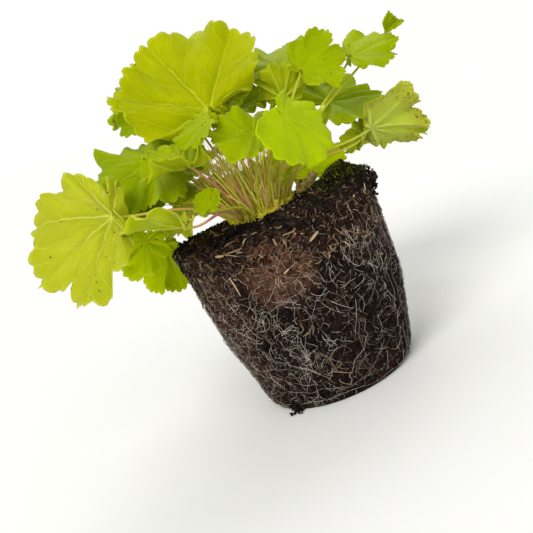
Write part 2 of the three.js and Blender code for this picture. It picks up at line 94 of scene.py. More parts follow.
# One row a leaf: its hub, with z above the ball, heading and rise of the tip, roll about the
# midrib, width, droop of the tip and of the sides, fold along the midrib, ruffle of the
# margin, its phase, the foot of the stem as ring radius and direction in the crown, 1 for a
# finely toothed margin, the size of the left and right basal lobes, the depth of the
# notches, and the tones of the upper face and of the stem.
Leaf = namedtuple("Leaf", "x y z heading rise roll width droop sides fold ruffle phase "
                          "foot_ring foot_turn fine left right notch tone stem")
LEAF_ROWS = {
    "leaf_top_left": (-8.6, 6, 53.5, 109, 52, 16, 89, 8, 4, 0.1, 2.4, 1, 4, 150, 1, 0.45, 0.2,
                      0.08, "golden", "green"),
    "leaf_behind_left": (-24.5, 44, 68, 176, 4, 28, 60, 20, 20, 0.1, 2.2, 2, 7, 120, 1, 1, 1,
                         0.2, "olive", "tan"),
    "leaf_mid_left": (-41.4, 8, 42, 187, 0, 30, 64, 24, 34, 0.1, 2, 3, 8, 176, 1, 1, 1, 0.12,
                      "olive", "tan"),
    "leaf_far_left": (-65, -25, 29, 186, -15, 36, 84, 16, 14, 0.1, 2.6, 4, 13, 200, 1, 0.12,
                      0.6, 0.2, "satin", "tan"),
    "leaf_front_left": (-37.2, -45, 15.6, 184, 21, -10, 52, 8, 0, 0.15, 1.6, 5, 12.5, 230, 0,
                        0.3, 0.3, 0.12, "satin", "pink"),
    "leaf_low_left": (-61, 10, 9, 200, -52, 40, 30, 20, 10, 0.1, 1.6, 6, 13, 182, 0, 1, 1, 0.18,
                      "sunlit", "tan"),
    "leaf_hanging_left": (-56, 34, 1, 203, -48, 60, 46, 14, 12, 0.1, 1.8, 7, 12.5, 152, 1, 0.4,
                          0.4, 0.18, "sunlit", "tan"),
    "leaf_front_small": (4.4, -32, 38.0, 188, 14, 55, 32, 14, 10, 0.3, 1.5, 8, 8, 266, 1, 0.5,
                         0.5, 0.1, "leafy", "green"),
    "leaf_front_narrow": (-10, -26, 50.6, 186, -17, 20, 32, 14, 10, 0.15, 1.0, 9, 8, 236, 0,
                          0.3, 0.3, 0.1, "leafy", "green"),
    "leaf_inner_left": (-26, -23.5, 36, 182, 12, 8, 42, 4, -35, 0.1, 1.6, 10, 8.5, 212, 0, 1, 1,
                        0.12, "green", "pink"),
    "leaf_front_bright": (19, -34, 39, 315, -62, 0, 46, 14, 14, 0, 1.6, 11, 9, 292, 0, 1, 0.6,
                          0.09, "lime", "green"),
    "leaf_funnel": (26, 15, 45, 250, 64, 0, 31, -10, -30, 0.2, 1.6, 12, 6, 40, 0, 0.8, 0.8,
                    0.12, "olive", "green"),
    "leaf_upper_right": (37, 5, 52.7, 355, 2, -55, 41, 12, -14, 0.15, 1.6, 13, 7, 2, 1, 0.45,
                         0.0, 0.24, "leafy", "green"),
    "leaf_top_right": (61.2, 8, 50, 4, 3, -32, 40, 14, 16, 0.1, 1.6, 14, 9, 344, 1, 0, 0.3,
                       0.12, "leafy", "green"),
    "leaf_tiny_right": (83, 17, 54, 10, 18, -62, 15, 10, 6, 1.2, 0.7, 15, 10, 22, 0, 0, 0, 0.12,
                        "leafy", "green"),
    "leaf_far_right": (58.7, 10, 16, 352, -9, 44, 52, 14, 6, 0.1, 1.8, 16, 13, 8, 1, 0.4, 0.3,
                       0.24, "olive", "green"),
    "leaf_behind_right": (48, 31, 33, 20, 5, -30, 50, 20, 10, 0.1, 1.8, 17, 10, 42, 0, 1, 1,
                          0.12, "olive", "tan"),
    "leaf_low_right": (27.5, 40, 3, 75, 32, -8, 46, 10, 8, 0.1, 1.8, 18, 13, 64, 0, 0.6, 0.6,
                       0.12, "sunlit", "tan"),
    "leaf_heart": (4, 31, 48, 85, 30, 0, 42, 10, 8, 0.1, 1.8, 19, 5, 82, 0, 1, 1, 0.13, "olive",
                   "pink"),
    "leaf_shade_left": (-50, 14, 28, 175, 5, 25, 50, 20, 10, 0.1, 1.8, 20, 11, 168, 0, 1, 1,
                        0.14, "green", "pink"),
    "leaf_shade_front": (-24, -7, 21, 176, 12, 20, 26, 20, -10, 0.1, 1.4, 21, 12.5, 214, 0, 1,
                         1, 0.14, "green", "pink"),
    "leaf_back_left": (-40, 44, 26, 140, 0, 0, 58, 30, 14, 0.1, 2, 22, 12.5, 128, 0, 1, 1, 0.14,
                       "olive", "tan"),
    "leaf_back": (-14, 57, 32, 108, 5, 0, 64, 30, 14, 0.1, 2.2, 23, 9.5, 98, 0, 1, 1, 0.12,
                  "golden", "tan"),
    "leaf_back_right": (29, 61.5, 36, 52, 5, 0, 56, 30, 14, 0.1, 2, 24, 9.5, 66, 0, 1, 1, 0.14,
                        "golden", "pink"),
    "leaf_back_top": (30, 38, 60, 60, 25, 0, 46, 16, 10, 0.1, 2, 25, 2, 60, 0, 1, 1, 0.13,
                      "leafy", "green"),
    "leaf_back_low": (4, 61, 13, 92, -40, 0, 52, 14, 12, 0.1, 1.8, 26, 13, 92, 0, 0.5, 0.5,
                      0.14, "green", "tan"),
    "leaf_right_low": (66, 44, 7, 30, -12, 0, 48, 24, 12, 0.1, 1.8, 27, 13, 36, 0, 1, 1, 0.14,
                       "olive", "tan"),
    "leaf_back_far_left": (-34, 64, 10, 122, -30, 0, 52, 14, 12, 0.1, 1.8, 28, 13, 110, 0, 1, 1,
                           0.14, "olive", "pink"),
    "leaf_young_right": (13, -9, 13, 340, 55, 0, 16, 10, 20, 0.3, 0.8, 31, 12, 330, 0, 1, 1,
                         0.12, "lime", "green"),
    "leaf_shade_top": (1.5, 17, 54, 80, 40, 0, 28, 14, 10, 0.1, 1.6, 29, 4, 225, 0, 0.8, 0.8,
                       0.12, "shaded", "green"),
    "leaf_front_cup": (-25, -35, 17.6, 60, 48, 0, 16, -14, -20, 0.1, 0.8, 32, 13.5, 260, 0, 1,
                       1, 0.12, "leafy", "green"),
    "leaf_small_right": (56, 21, 13.5, 196, 4, -50, 24, 14, 10, 0.1, 0.8, 33, 13.5, 21, 0, 0.8,
                         0.8, 0.16, "olive", "green"),
}
LEAVES = {name: Leaf(*row) for name, row in LEAF_ROWS.items()}
# Withered leaf, with z above the soil.
DRY_LEAF = Leaf(19, -3, 2.2, 35, 6, 20, 17, -35, -75, 0.1, 0.6, 3, 0, 0, 0, 1, 1, 0.2,
                "withered", "tan")

# Roots that the frame has over the side of the ball.
STRANDS = 15
STRAND_STEPS = 8
RING_HEIGHT = 8
RING_STEPS = 90


# ---- meshes -------------------------------------------------------------

def deselect():
    for thing in bpy.context.selected_objects:
        thing.select_set(False)


def vertex_of_loops(mesh):
    loops = np.zeros(len(mesh.loops), int)
    mesh.loops.foreach_get("vertex_index", loops)
    return loops


def in_edit(piece, operation, **settings):
    """Runs an operator of edit mode on all of a piece."""
    bpy.context.view_layer.objects.active = piece
    bpy.ops.object.mode_set(mode="EDIT")
    bpy.ops.mesh.select_all(action="SELECT")
    operation(**settings)
    bpy.ops.object.mode_set(mode="OBJECT")


def finish_piece(piece, slot, *nodes):
    """Rides a finished piece on the plant, in its nodes' place; its slot is not used."""
    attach(piece, "root")
    if nodes:
        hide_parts(*nodes)


def sheet(name, columns, rows, place, maps, *materials):
    """A grid primitive of columns by rows, with every vertex moved to place(column, row).

    place works in millimetres on whole arrays. maps names UV maps and gives, in the same
    way, their two coordinates. Doubles are merged, so a closed sheet has no seam.
    """
    deselect()
    bpy.ops.mesh.primitive_grid_add(x_subdivisions=columns, y_subdivisions=rows, size=1,
                                    calc_uvs=False, enter_editmode=False)
    piece = bpy.context.object
    piece.name = piece.data.name = name
    mesh = piece.data
    corners = np.zeros(3 * len(mesh.vertices))
    mesh.vertices.foreach_get("co", corners)
    corners = corners.reshape(-1, 3) + 0.5
    column = np.rint(corners[:, 0] * columns).astype(int)
    row = np.rint(corners[:, 1] * rows).astype(int)
    mesh.vertices.foreach_set("co", (place(column, row) * MM).ravel())
    for map_name, spread in maps.items():
        layer = mesh.uv_layers.new(name=map_name)
        layer.data.foreach_set("uv", spread(column, row)[vertex_of_loops(mesh)].ravel())
    mesh.update()
    in_edit(piece, bpy.ops.mesh.remove_doubles, threshold=DOUBLES_APART)
    bpy.ops.object.shade_smooth()
    for material in materials:
        mesh.materials.append(material)
    return piece


def mesh_piece(name, points, faces, tones, material, smooth):
    """A mesh from points in millimetres; tones, one a vertex, go into the map 'tone'."""
    mesh = bpy.data.meshes.new(name)
    mesh.from_pydata((points * MM).tolist(), [], faces)
    layer = mesh.uv_layers.new(name="tone")
    layer.data.foreach_set("uv", tones[vertex_of_loops(mesh)].ravel())
    mesh.polygons.foreach_set("use_smooth", np.full(len(mesh.polygons), smooth))
    mesh.update()
    mesh.materials.append(material)
    piece = bpy.data.objects.new(name, mesh)
    bpy.context.scene.collection.objects.link(piece)
    return piece


def join(piece, others):
    """Joins others into piece, with their materials."""
    deselect()
    for other in others:
        other.select_set(True)
    piece.select_set(True)
    bpy.context.view_layer.objects.active = piece
    bpy.ops.object.join()
    return piece


# The direction from which the sides of a bar are turned.
SIDEWAYS = np.array((0.31, 0.9, 0.17))


def unit(vectors):
    return vectors / np.maximum(np.linalg.norm(vectors, axis=-1, keepdims=True), 1e-9)


def polar(turn, radius, z):
    """Points at a turn and radius about the upright axis, at height z."""
    return np.stack(np.broadcast_arrays(radius * np.cos(turn), radius * np.sin(turn), z), -1)


def strands(name, paths, radii, sides, tones, material):
    """Many thin closed bars at once: paths is (bars, steps, 3), radii (bars, steps)."""
    bars, steps = radii.shape
    ahead = np.empty_like(paths)
    ahead[:, 1:-1] = paths[:, 2:] - paths[:, :-2]
    ahead[:, 0] = paths[:, 1] - paths[:, 0]
    ahead[:, -1] = paths[:, -1] - paths[:, -2]
    ahead = unit(ahead)
    across = unit(np.cross(ahead, SIDEWAYS))
    above = np.cross(ahead, across)
    turn = 2 * np.pi * np.arange(sides) / sides
    ring = (across[:, :, None] * np.cos(turn)[:, None] + above[:, :, None] * np.sin(turn)[:, None])
    points = (paths[:, :, None] + ring * radii[:, :, None, None]).reshape(-1, 3)
    step, side = np.meshgrid(np.arange(steps - 1), np.arange(sides), indexing="ij")
    beside = (side + 1) % sides
    wall = np.stack([step * sides + side, step * sides + beside,
                     (step + 1) * sides + beside, (step + 1) * sides + side], -1).reshape(-1, 4)
    starts = np.arange(bars)[:, None, None] * steps * sides
    walls = (wall[None] + starts).reshape(-1, 4)
    first = np.arange(sides)[::-1]
    ends = np.stack([first, (steps - 1) * sides + first[::-1]])
    caps = (ends[None] + starts).reshape(-1, sides)
    tone = np.repeat(tones, steps * sides, axis=0)
    along = np.tile(np.repeat(np.linspace(0, 1, steps), sides), bars)
    return mesh_piece(name, points, walls.tolist() + caps.tolist(),
                      np.stack([tone, along], -1), material, True)


def turned(count, draw):
    """Random rotation matrices."""
    a, b, c, d = unit(draw.normal(size=(count, 4))).T
    return np.stack([
        np.stack([1 - 2 * (c * c + d * d), 2 * (b * c - a * d), 2 * (b * d + a * c)], -1),
        np.stack([2 * (b * c + a * d), 1 - 2 * (b * b + d * d), 2 * (c * d - a * b)], -1),
        np.stack([2 * (b * d - a * c), 2 * (c * d + a * b), 1 - 2 * (b * b + c * c)], -1)], 1)


def copies(name, model, places, frames, tones, material, smooth=False):
    """Copies of a model, (points, faces), at places, each turned and sized by its frame."""
    points, faces = model
    moved = np.einsum("nij,kj->nki", frames, points) + places[:, None]
    starts = np.arange(len(places))[:, None, None] * len(points)
    tone = np.stack([np.repeat(tones, len(points)), np.zeros(len(places) * len(points))], -1)
    faces = (faces[None] + starts).reshape(-1, faces.shape[1])
    return mesh_piece(name, moved.reshape(-1, 3), faces.tolist(), tone, material, smooth)


def crumb_model():
    """One rough grain of radius 1, from an icosphere primitive."""
    deselect()
    bpy.ops.mesh.primitive_ico_sphere_add(subdivisions=1, radius=1)
    grain = bpy.context.object
    points = np.array([tuple(vertex.co) for vertex in grain.data.vertices])
    points *= (1 + 0.35 * np.sin(7 * points[:, 0] + 3 * points[:, 1] + 5 * points[:, 2]))[:, None]
    faces = np.array([tuple(face.vertices) for face in grain.data.polygons])
    bpy.data.objects.remove(grain)
    return points, faces


SPIKE = (np.array([(1, 0, 0), (-0.5, 0.87, 0), (-0.5, -0.87, 0), (0, 0, 1)]),
         np.array([(0, 1, 3), (1, 2, 3), (2, 0, 3), (0, 2, 1)]))


def spike_frames(directions, radii, lengths):
    """Frames that stand a spike of unit radius and length along each direction."""
    side = unit(np.cross(directions, np.array((0.37, 0.21, 0.9))))
    other = np.cross(directions, side)
    return np.stack([side * radii[:, None], other * radii[:, None],
                     directions * lengths[:, None]], -1)


def rough(points, size, seed, octaves=3):
    """Fractal noise at each point, with lumps of about size millimetres."""
    shift = Vector((17.3 * seed, 5.1 * seed, 9.7 * seed))
    return np.array([noise.fractal(Vector(point) / size + shift, 1.0, 2.0, octaves)
                     for point in points])


# ---- finishes -----------------------------------------------------------

def math_sign(operation, turned_round=False):
    """The method behind an arithmetic sign: it adds one Math node."""
    def combine(self, other):
        pair = (other, self) if turned_round else (self, other)
        return self.finish.math(operation, *pair)
    return combine


class Shade:
    """A socket of a finish; sums on it add Math nodes."""

    def __init__(self, finish, socket):
        self.finish, self.socket = finish, socket

    def __abs__(self):
        return self.finish.math("ABSOLUTE", self)

    __add__ = __radd__ = math_sign("ADD")
    __sub__ = math_sign("SUBTRACT")
    __rsub__ = math_sign("SUBTRACT", True)
    __mul__ = __rmul__ = math_sign("MULTIPLY")
    __truediv__ = math_sign("DIVIDE")
    __pow__ = math_sign("POWER")


class Finish:
    """One material and its nodes."""

    def __init__(self, name):
        self.surface = bpy.data.materials.new(name)
        self.surface.use_nodes = True
        self.tree = self.surface.node_tree
        self.tree.nodes.clear()

    def node(self, kind, settings=None, sockets=None, output=0):
        made = self.tree.nodes.new(kind)
        for key, value in (settings or {}).items():
            if key == "stops":
                ramp = made.color_ramp.elements
                ramp.remove(ramp[0])
                ramp[0].position, ramp[0].color = value[0]
                for position, color in value[1:]:
                    ramp.new(position).color = color
            else:
                setattr(made, key, value)
        for key, value in (sockets or {}).items():
            if isinstance(value, Shade):
                self.tree.links.new(value.socket, made.inputs[key])
            else:
                made.inputs[key].default_value = value
        return Shade(self, made.outputs[output])

    def math(self, operation, *values):
        return self.node("ShaderNodeMath", {"operation": operation}, dict(enumerate(values)))

    def clamp(self, value):
        return self.node("ShaderNodeClamp", None, {"Value": value})

    def smooth(self, value, low, high):
        return self.node("ShaderNodeMapRange", {"interpolation_type": "SMOOTHSTEP"},
                         {"Value": value, "From Min": low, "From Max": high})

    def mix(self, factor, first, second):
        return self.node("ShaderNodeMix", {"data_type": "RGBA"},
                         {0: factor, 6: full(first), 7: full(second)}, 2)

    def layers(self, color, *coats):
        """A colour with coats laid over it in turn, each (how much, colour)."""
        for share, coat in coats:
            color = self.mix(share, color, coat)
        return color

    def place(self):
        """The place on the plant, in metres."""
        return self.node("ShaderNodeTexCoord", None, None, 3)

    def map(self, name):
        return self.node("ShaderNodeUVMap", {"uv_map": name})

    def parts(self, vector):
        split = self.tree.nodes.new("ShaderNodeSeparateXYZ")
        self.tree.links.new(vector.socket, split.inputs[0])
        return [Shade(self, socket) for socket in split.outputs]

    def noise(self, vector, scale, detail=3, roughness=0.5):
        return self.node("ShaderNodeTexNoise", None, {"Vector": vector, "Scale": scale,
                                                      "Detail": detail, "Roughness": roughness})

    def cloud(self, vector, scale, detail, low, high):
        """Soft spots of noise: 0 where it is below low and 1 where it is above high."""
        return self.smooth(self.noise(vector, scale, detail), low, high)

    def ramp(self, value, *stops):
        return self.node("ShaderNodeValToRGB",
                         {"stops": [(at, full(color)) for at, color in stops]}, {0: value})

    def bump(self, height, distance, strength=1.0):
        return self.node("ShaderNodeBump", None,
                         {"Height": height, "Distance": distance, "Strength": strength})

    def close(self, sockets):
        shader = self.node("ShaderNodeBsdfPrincipled", None, sockets)
        output = self.tree.nodes.new("ShaderNodeOutputMaterial")
        self.tree.links.new(shader.socket, output.inputs["Surface"])
        return self.surface


def full(color):
    return (*color, 1.0) if isinstance(color, tuple) and len(color) == 3 else color


# Tones of a blade's upper face: well lit tissue, deeper tissue (also used as painted shade along
# the veins), veins.
BLADE_TONES = {
    "golden": ((0.40, 0.43, 0.001), (0.29, 0.335, 0.0), (0.58, 0.63, 0.04)),
    "sunlit": ((0.56, 0.68, 0.001), (0.43, 0.56, 0.0), (0.60, 0.66, 0.01)),
    "olive": ((0.33, 0.425, 0.001), (0.205, 0.295, 0.0), (0.37, 0.43, 0.008)),
    "lime": ((0.42, 0.54, 0.001), (0.30, 0.41, 0.0), (0.47, 0.59, 0.01)),
    "leafy": ((0.34, 0.42, 0.001), (0.22, 0.30, 0.0), (0.41, 0.49, 0.008)),
    "green": ((0.36, 0.44, 0.001), (0.22, 0.29, 0.0), (0.43, 0.50, 0.01)),
    "shaded": ((0.46, 0.54, 0.001), (0.34, 0.42, 0.0), (0.52, 0.60, 0.01)),
    # The satin tone's pale, bluish colour is partly the leaf's own and partly painted sheen.
    "satin": ((0.45, 0.48, 0.015), (0.36, 0.39, 0.006), (0.60, 0.62, 0.10)),
}
# How clearly the veins of a blade show; those of all other tones at 0.75.
VEIN_CLEARNESS = {"satin": 1.0, "lime": 0.35, "leafy": 0.35}
# Tones of a stem: foot, middle, top.
STEM_TONES = {
    "green": ((0.76, 0.74, 0.03), (0.58, 0.62, 0.03), (0.50, 0.57, 0.06)),
    "tan": ((0.78, 0.72, 0.05), (0.80, 0.54, 0.15), (0.60, 0.58, 0.04)),
    "pink": ((0.80, 0.60, 0.12), (0.86, 0.36, 0.26), (0.70, 0.48, 0.10)),
}
THIN_LEAF = {"Subsurface Weight": 0.75, "Subsurface Radius": (1.0, 1.0, 0.1),
             "Subsurface Scale": 0.0011, "IOR": 1.42}
WAXY = {"Specular IOR Level": 0.17, "Specular Tint": (0.9, 1.0, 0.05, 1.0)}
# Greener tissue of the base half of a pale leaf; the paler tip half stands for painted sheen.
SATIN_BASE = (0.33, 0.375, 0.003)
SATIN = {"Specular IOR Level": 0.3, "Specular Tint": (1.0, 1.0, 0.35, 1.0)}


def leaf_veins(finish):
    """Masks of the main veins, side veins and fine net of a palmate blade, and of the
    creases in which the veins lie, where the finishes lay painted shade."""
    flat = finish.map("flat")
    half, _, _ = finish.parts(finish.map("reach"))
    x, y, _ = finish.parts(flat)
    x = x + 0.07 * (finish.noise(flat, 4.0, 2) - 0.5)
    y = y + 0.07 * (finish.noise(flat, 5.5, 2) - 0.5)
    radius = (x * x + y * y) ** 0.5
    sector = finish.math("ARCTAN2", y, x) / math.radians(LOBE)
    local = (sector - finish.math("ROUND", sector)) * math.radians(LOBE)
    along = radius * finish.math("COSINE", local)
    across = abs(radius * finish.math("SINE", local))
    grown = 1 - finish.smooth(abs(sector), 3.4, 3.6)
    main = finish.clamp(1.3 - across * half / (0.55 - 0.3 * radius)) * grown
    stagger = finish.math("SIGN", local) * 0.25
    line = (along - 1.5 * across + 0.7 * across * across) / 0.23 + stagger
    apart = abs(finish.math("FRACT", line) - 0.5) * 0.14 * half
    off_hub = finish.smooth(along, 0.15, 0.3)
    side = finish.clamp(1.2 - apart / 0.24) * off_hub
    cells = finish.node("ShaderNodeTexVoronoi", {"feature": "DISTANCE_TO_EDGE"},
                        {"Vector": flat, "Scale": 15.0, "Randomness": 1.0})
    net = 1 - finish.smooth(cells, 0.0, 0.10)
    painted_fold_shade = (finish.clamp(1.1 - across * half / 2.6) * grown
             + finish.clamp(1.0 - apart / 0.9) * off_hub * 0.7)
    return main, side, net, finish.clamp(painted_fold_shade)


def blade_finish(tone):
    """Upper face of a living leaf: thin pale veins on waxy, slightly puckered tissue, with painted
    shade in the creases along the veins.
    """
    light, deep, vein = BLADE_TONES[tone]
    finish = Finish(f"leaf_{tone}_upper")
    main, side, net, painted_fold_shade = leaf_veins(finish)
    place = finish.place()
    patches = finish.cloud(place, 48.0, 3, 0.34, 0.68)
    mottle = finish.cloud(place, 420.0, 2, 0.35, 0.7)
    grain = finish.cloud(place, 1300.0, 2, 0.36, 0.64)
    _, out, _ = finish.parts(finish.map("reach"))
    clear = VEIN_CLEARNESS.get(tone, 0.75)
    tissue = finish.mix(0.35 + 0.65 * patches, deep, light)
    # On a satin leaf the paler, bluer tip half is painted sheen, and the base half turns greener.
    if tone == "satin":
        tip, across, _ = finish.parts(finish.map("flat"))
        base_half_without_sheen = 1 - finish.smooth(tip - 0.5 * across + 0.5 * (patches - 0.5), -0.35, 0.45)
        tissue = finish.mix(base_half_without_sheen * 0.8, tissue, SATIN_BASE)
    # The deeper tone laid along the veins' creases is painted shade.
    tissue = finish.layers(
        tissue, (painted_fold_shade * (0.45 * clear), deep), (mottle * 0.18 + grain * 0.18, deep),
        (finish.smooth(out, 0.955, 0.995) * 0.3, vein), (net * 0.05, vein),
        (side * (0.4 * clear), vein), (main * (1 - 0.6 * out) * clear, vein))
    pucker = finish.noise(place, 600.0, 2)
    height = 0.6 * pucker - 0.35 * net - (0.45 * side + 0.5 * main) * clear
    gloss = 0.44 + 0.12 * mottle + 0.05 * net
    return finish.close({"Base Color": tissue, "Roughness": gloss,
                         "Normal": finish.bump(height, 0.00022, 0.7), **THIN_LEAF,
                         **(SATIN if tone == "satin" else WAXY)})


def under_finish(freckled):
    """Lower face of a leaf: paler and duller, with the veins standing out and painted shade in the
    creases along them.
    """
    finish = Finish("leaf_freckled_under" if freckled else "leaf_under")
    main, side, net, painted_fold_shade = leaf_veins(finish)
    place = finish.place()
    patches = finish.cloud(place, 60.0, 3, 0.36, 0.66)
    # The darker green laid along the veins' creases is painted shade.
    tissue = finish.layers(
        (0.32, 0.39, 0.003), (patches, (0.42, 0.48, 0.008)), (painted_fold_shade * 0.2, (0.27, 0.34, 0.002)),
        (net * 0.12, (0.48, 0.53, 0.03)), (side * 0.35, (0.50, 0.55, 0.04)),
        (main * 0.55, (0.55, 0.60, 0.06)))
    if freckled:
        _, out, _ = finish.parts(finish.map("reach"))
        spots = finish.cloud(place, 850.0, 2, 0.57, 0.64)
        zone = finish.smooth(out + 0.6 * finish.noise(place, 130.0, 2), 0.85, 1.2)
        tissue = finish.layers(
            tissue, (0.65, (0.52, 0.60, 0.09)), (main * 0.7, (0.60, 0.66, 0.12)),
            (zone * 0.5, (0.37, 0.35, 0.02)), (spots * zone * 0.85, (0.20, 0.10, 0.02)))
    height = 0.5 * net + 0.8 * side + 1.0 * main
    return finish.close({"Base Color": tissue, "Roughness": 0.55 + 0.1 * patches,
                         "Normal": finish.bump(height, 0.0002, 0.8), **THIN_LEAF,
                         **(SATIN if freckled else WAXY)})


def stem_finish(tone):
    """Leaf stem: a flushed, finely ribbed skin that pales toward the crown."""
    foot, middle, top = STEM_TONES[tone]
    finish = Finish(f"stem_{tone}")
    across, along, _ = finish.parts(finish.map("reach"))
    blotch = 0.22 * (finish.noise(finish.place(), 160.0, 3) - 0.5)
    skin = finish.ramp(along + blotch, (0.05, foot), (0.35, middle), (0.7, middle), (0.97, top))
    ribs = finish.math("SINE", across * 2 * math.pi * 5)
    rib_shade = finish.smooth(ribs, -1.0, 1.0)
    skin = finish.mix(rib_shade * 0.3, skin, top)
    return finish.close({"Base Color": skin, "Roughness": 0.5 + 0.1 * rib_shade,
                         "Normal": finish.bump(ribs, 0.00008, 0.7),
                         "Subsurface Weight": 0.5, "Subsurface Radius": (1.0, 0.7, 0.2),
                         "Subsurface Scale": 0.0008, **WAXY})


def spotted_finish(name, scale, detail, tones, roughness, spread=None, **coat):
    """Two tones in soft spots; with a spread, the paler spots are rougher too."""
    finish = Finish(name)
    spots = finish.noise(finish.place(), scale, detail)
    return finish.close({"Base Color": finish.mix(spots, *tones),
                         "Roughness": roughness + spread * spots if spread else roughness,
                         **coat})


def peat_finish():
    """Side and top of the ball: dark crumbly peat, browner and redder where fibre shows."""
    finish = Finish("peat")
    place = finish.place()
    x, y, z = finish.parts(place)
    crumbs = finish.noise(place, 520.0, 4, 0.65)
    lumps = finish.noise(place, 70.0, 3)
    stretched = finish.node("ShaderNodeMapping", {"vector_type": "POINT"},
                            {"Vector": place, "Rotation": (0.3, 0.9, 0.4),
                             "Scale": (1.0, 1.0, 0.16)})
    fibre = finish.noise(stretched, 900.0, 2)
    base = finish.ramp(crumbs + 0.5 * (lumps - 0.5),
                       (0.34, (0.0014, 0.0009, 0.0010)), (0.50, (0.005, 0.0030, 0.0028)),
                       (0.62, (0.014, 0.0075, 0.006)), (0.76, (0.048, 0.027, 0.018)))
    off_x = (x - RUST_X * MM) / (RUST_REACH[0] * MM)
    off_z = (z - RUST_HEIGHT * MM) / (RUST_REACH[1] * MM)
    rust = 1 - finish.smooth(off_x * off_x + off_z * off_z + 1.6 * (lumps - 0.5), 0.2, 1.3)
    rim = finish.smooth(z + 0.5 * x + 0.02 * (lumps - 0.5), 0.066, 0.082) * 0.12
    left = finish.smooth(0 - x + 0.03 * (lumps - 0.5), 0.022, 0.042) * 0.35
    front = 1 - finish.smooth(y, -0.02, 0.005)
    warm = finish.clamp(finish.clamp(rust * 0.85 + rim + left) * front)
    rusty = finish.ramp(crumbs, (0.34, (0.020, 0.008, 0.005)), (0.50, (0.100, 0.042, 0.025)),
                        (0.68, (0.27, 0.135, 0.085)))
    base = finish.layers(base, (warm, rusty),
                         (finish.smooth(fibre, 0.60, 0.70) * 0.4, (0.13, 0.08, 0.05)))
    return finish.close({"Base Color": base, "Roughness": 0.9, "Specular IOR Level": 0.08,
                         "Normal": finish.bump(crumbs + 0.5 * fibre, 0.0009, 0.9)})


def toned_finish(name, stops, roughness, grain_scale, streak=0.0):
    """Small pieces that each have a tone of their own, from the map 'tone'."""
    finish = Finish(name)
    tone, along, _ = finish.parts(finish.map("tone"))
    grain = finish.noise(finish.place(), grain_scale, 3)
    color = finish.ramp(tone + 0.35 * (grain - 0.5) + streak * along, *stops)
    return finish.close({"Base Color": color, "Roughness": roughness + 0.1 * grain,
                         "Specular IOR Level": 0.12,
                         "Normal": finish.bump(grain, 0.0002, 0.7)})


def dry_finish():
    """Withered leaf: papery brown, darker along the veins and blotched."""
    finish = Finish("withered_leaf")
    main, side, _, _ = leaf_veins(finish)
    place = finish.place()
    blotch = finish.noise(place, 260.0, 4, 0.6)
    paper = finish.ramp(blotch, (0.34, (0.40, 0.27, 0.06)), (0.5, (0.70, 0.54, 0.14)),
                        (0.66, (0.82, 0.70, 0.26)))
    brown = (0.30, 0.18, 0.05)
    paper = finish.layers(paper, (side * 0.3, brown), (main * 0.5, brown))
    return finish.close({"Base Color": paper, "Roughness": 0.7 + 0.1 * blotch,
                         "Normal": finish.bump(blotch - side, 0.0004, 0.9)})


BLADES = {tone: blade_finish(tone) for tone in BLADE_TONES}
STEMS = {tone: stem_finish(tone) for tone in STEM_TONES}
UNDER = under_finish(False)
FRECKLED_UNDER = under_finish(True)
HAIR = spotted_finish("leaf_hair", 900.0, 1, ((0.55, 0.50, 0.06), (0.72, 0.66, 0.16)), 0.5,
                      **{"Subsurface Weight": 0.4, "Subsurface Scale": 0.0005})
# Dew drops whose paler spots are painted glints.
DEW_AND_GLINT = spotted_finish("leaf_dew_and_glint", 800.0, 1, ((0.74, 0.82, 0.06), (0.90, 0.94, 0.40)), 0.12, 0.1,
                     **{"Coat Weight": 0.6})
PEAT = peat_finish()
CRUMB = toned_finish("soil_crumb", (
    (0.1, (0.003, 0.0022, 0.002)), (0.5, (0.011, 0.007, 0.006)), (0.8, (0.034, 0.021, 0.014)),
    (1.0, (0.085, 0.055, 0.035))), 0.85, 900.0)
STRAW = toned_finish("straw_chip", (
    (0.0, (0.045, 0.022, 0.012)), (0.35, (0.13, 0.075, 0.040)), (0.7, (0.29, 0.195, 0.105)),
    (1.0, (0.62, 0.47, 0.26))), 0.65, 700.0)
ROOT = toned_finish("fine_root", (
    (0.0, (0.012, 0.005, 0.004)), (0.25, (0.075, 0.034, 0.021)), (0.5, (0.125, 0.085, 0.066)),
    (0.76, (0.54, 0.455, 0.38)), (1.0, (0.92, 0.84, 0.74))), 0.6, 500.0)
MOSS = toned_finish("moss", (
    (0.0, (0.004, 0.005, 0.002)), (0.5, (0.022, 0.032, 0.002)), (0.78, (0.13, 0.17, 0.006)),
    (1.0, (0.46, 0.50, 0.02))), 0.7, 600.0)
SCALE = toned_finish("crown_scale", (
    (0.0, (0.24, 0.17, 0.02)), (0.4, (0.54, 0.48, 0.03)), (0.75, (0.70, 0.68, 0.05)),
    (1.0, (0.80, 0.74, 0.18))), 0.7, 500.0, 0.15)
STALK = toned_finish("old_stalk", (
    (0.0, (0.55, 0.36, 0.08)), (0.32, (0.84, 0.42, 0.28)), (0.55, (0.78, 0.64, 0.10)),
    (0.75, (0.72, 0.72, 0.05)), (1.0, (0.88, 0.80, 0.20))), 0.6, 500.0, 0.1)
WITHERED = dry_finish()


# ---- leaves -------------------------------------------------------------

def fan_angle(angle, leaf):
    """Where the blade's even fan of directions lies on a grown leaf."""
    return (angle + WARP[0] * np.sin(np.radians(2 * angle) + 1.3 * leaf.phase)
            + WARP[1] * np.sin(np.radians(3 * angle) + 2.1 * leaf.phase))


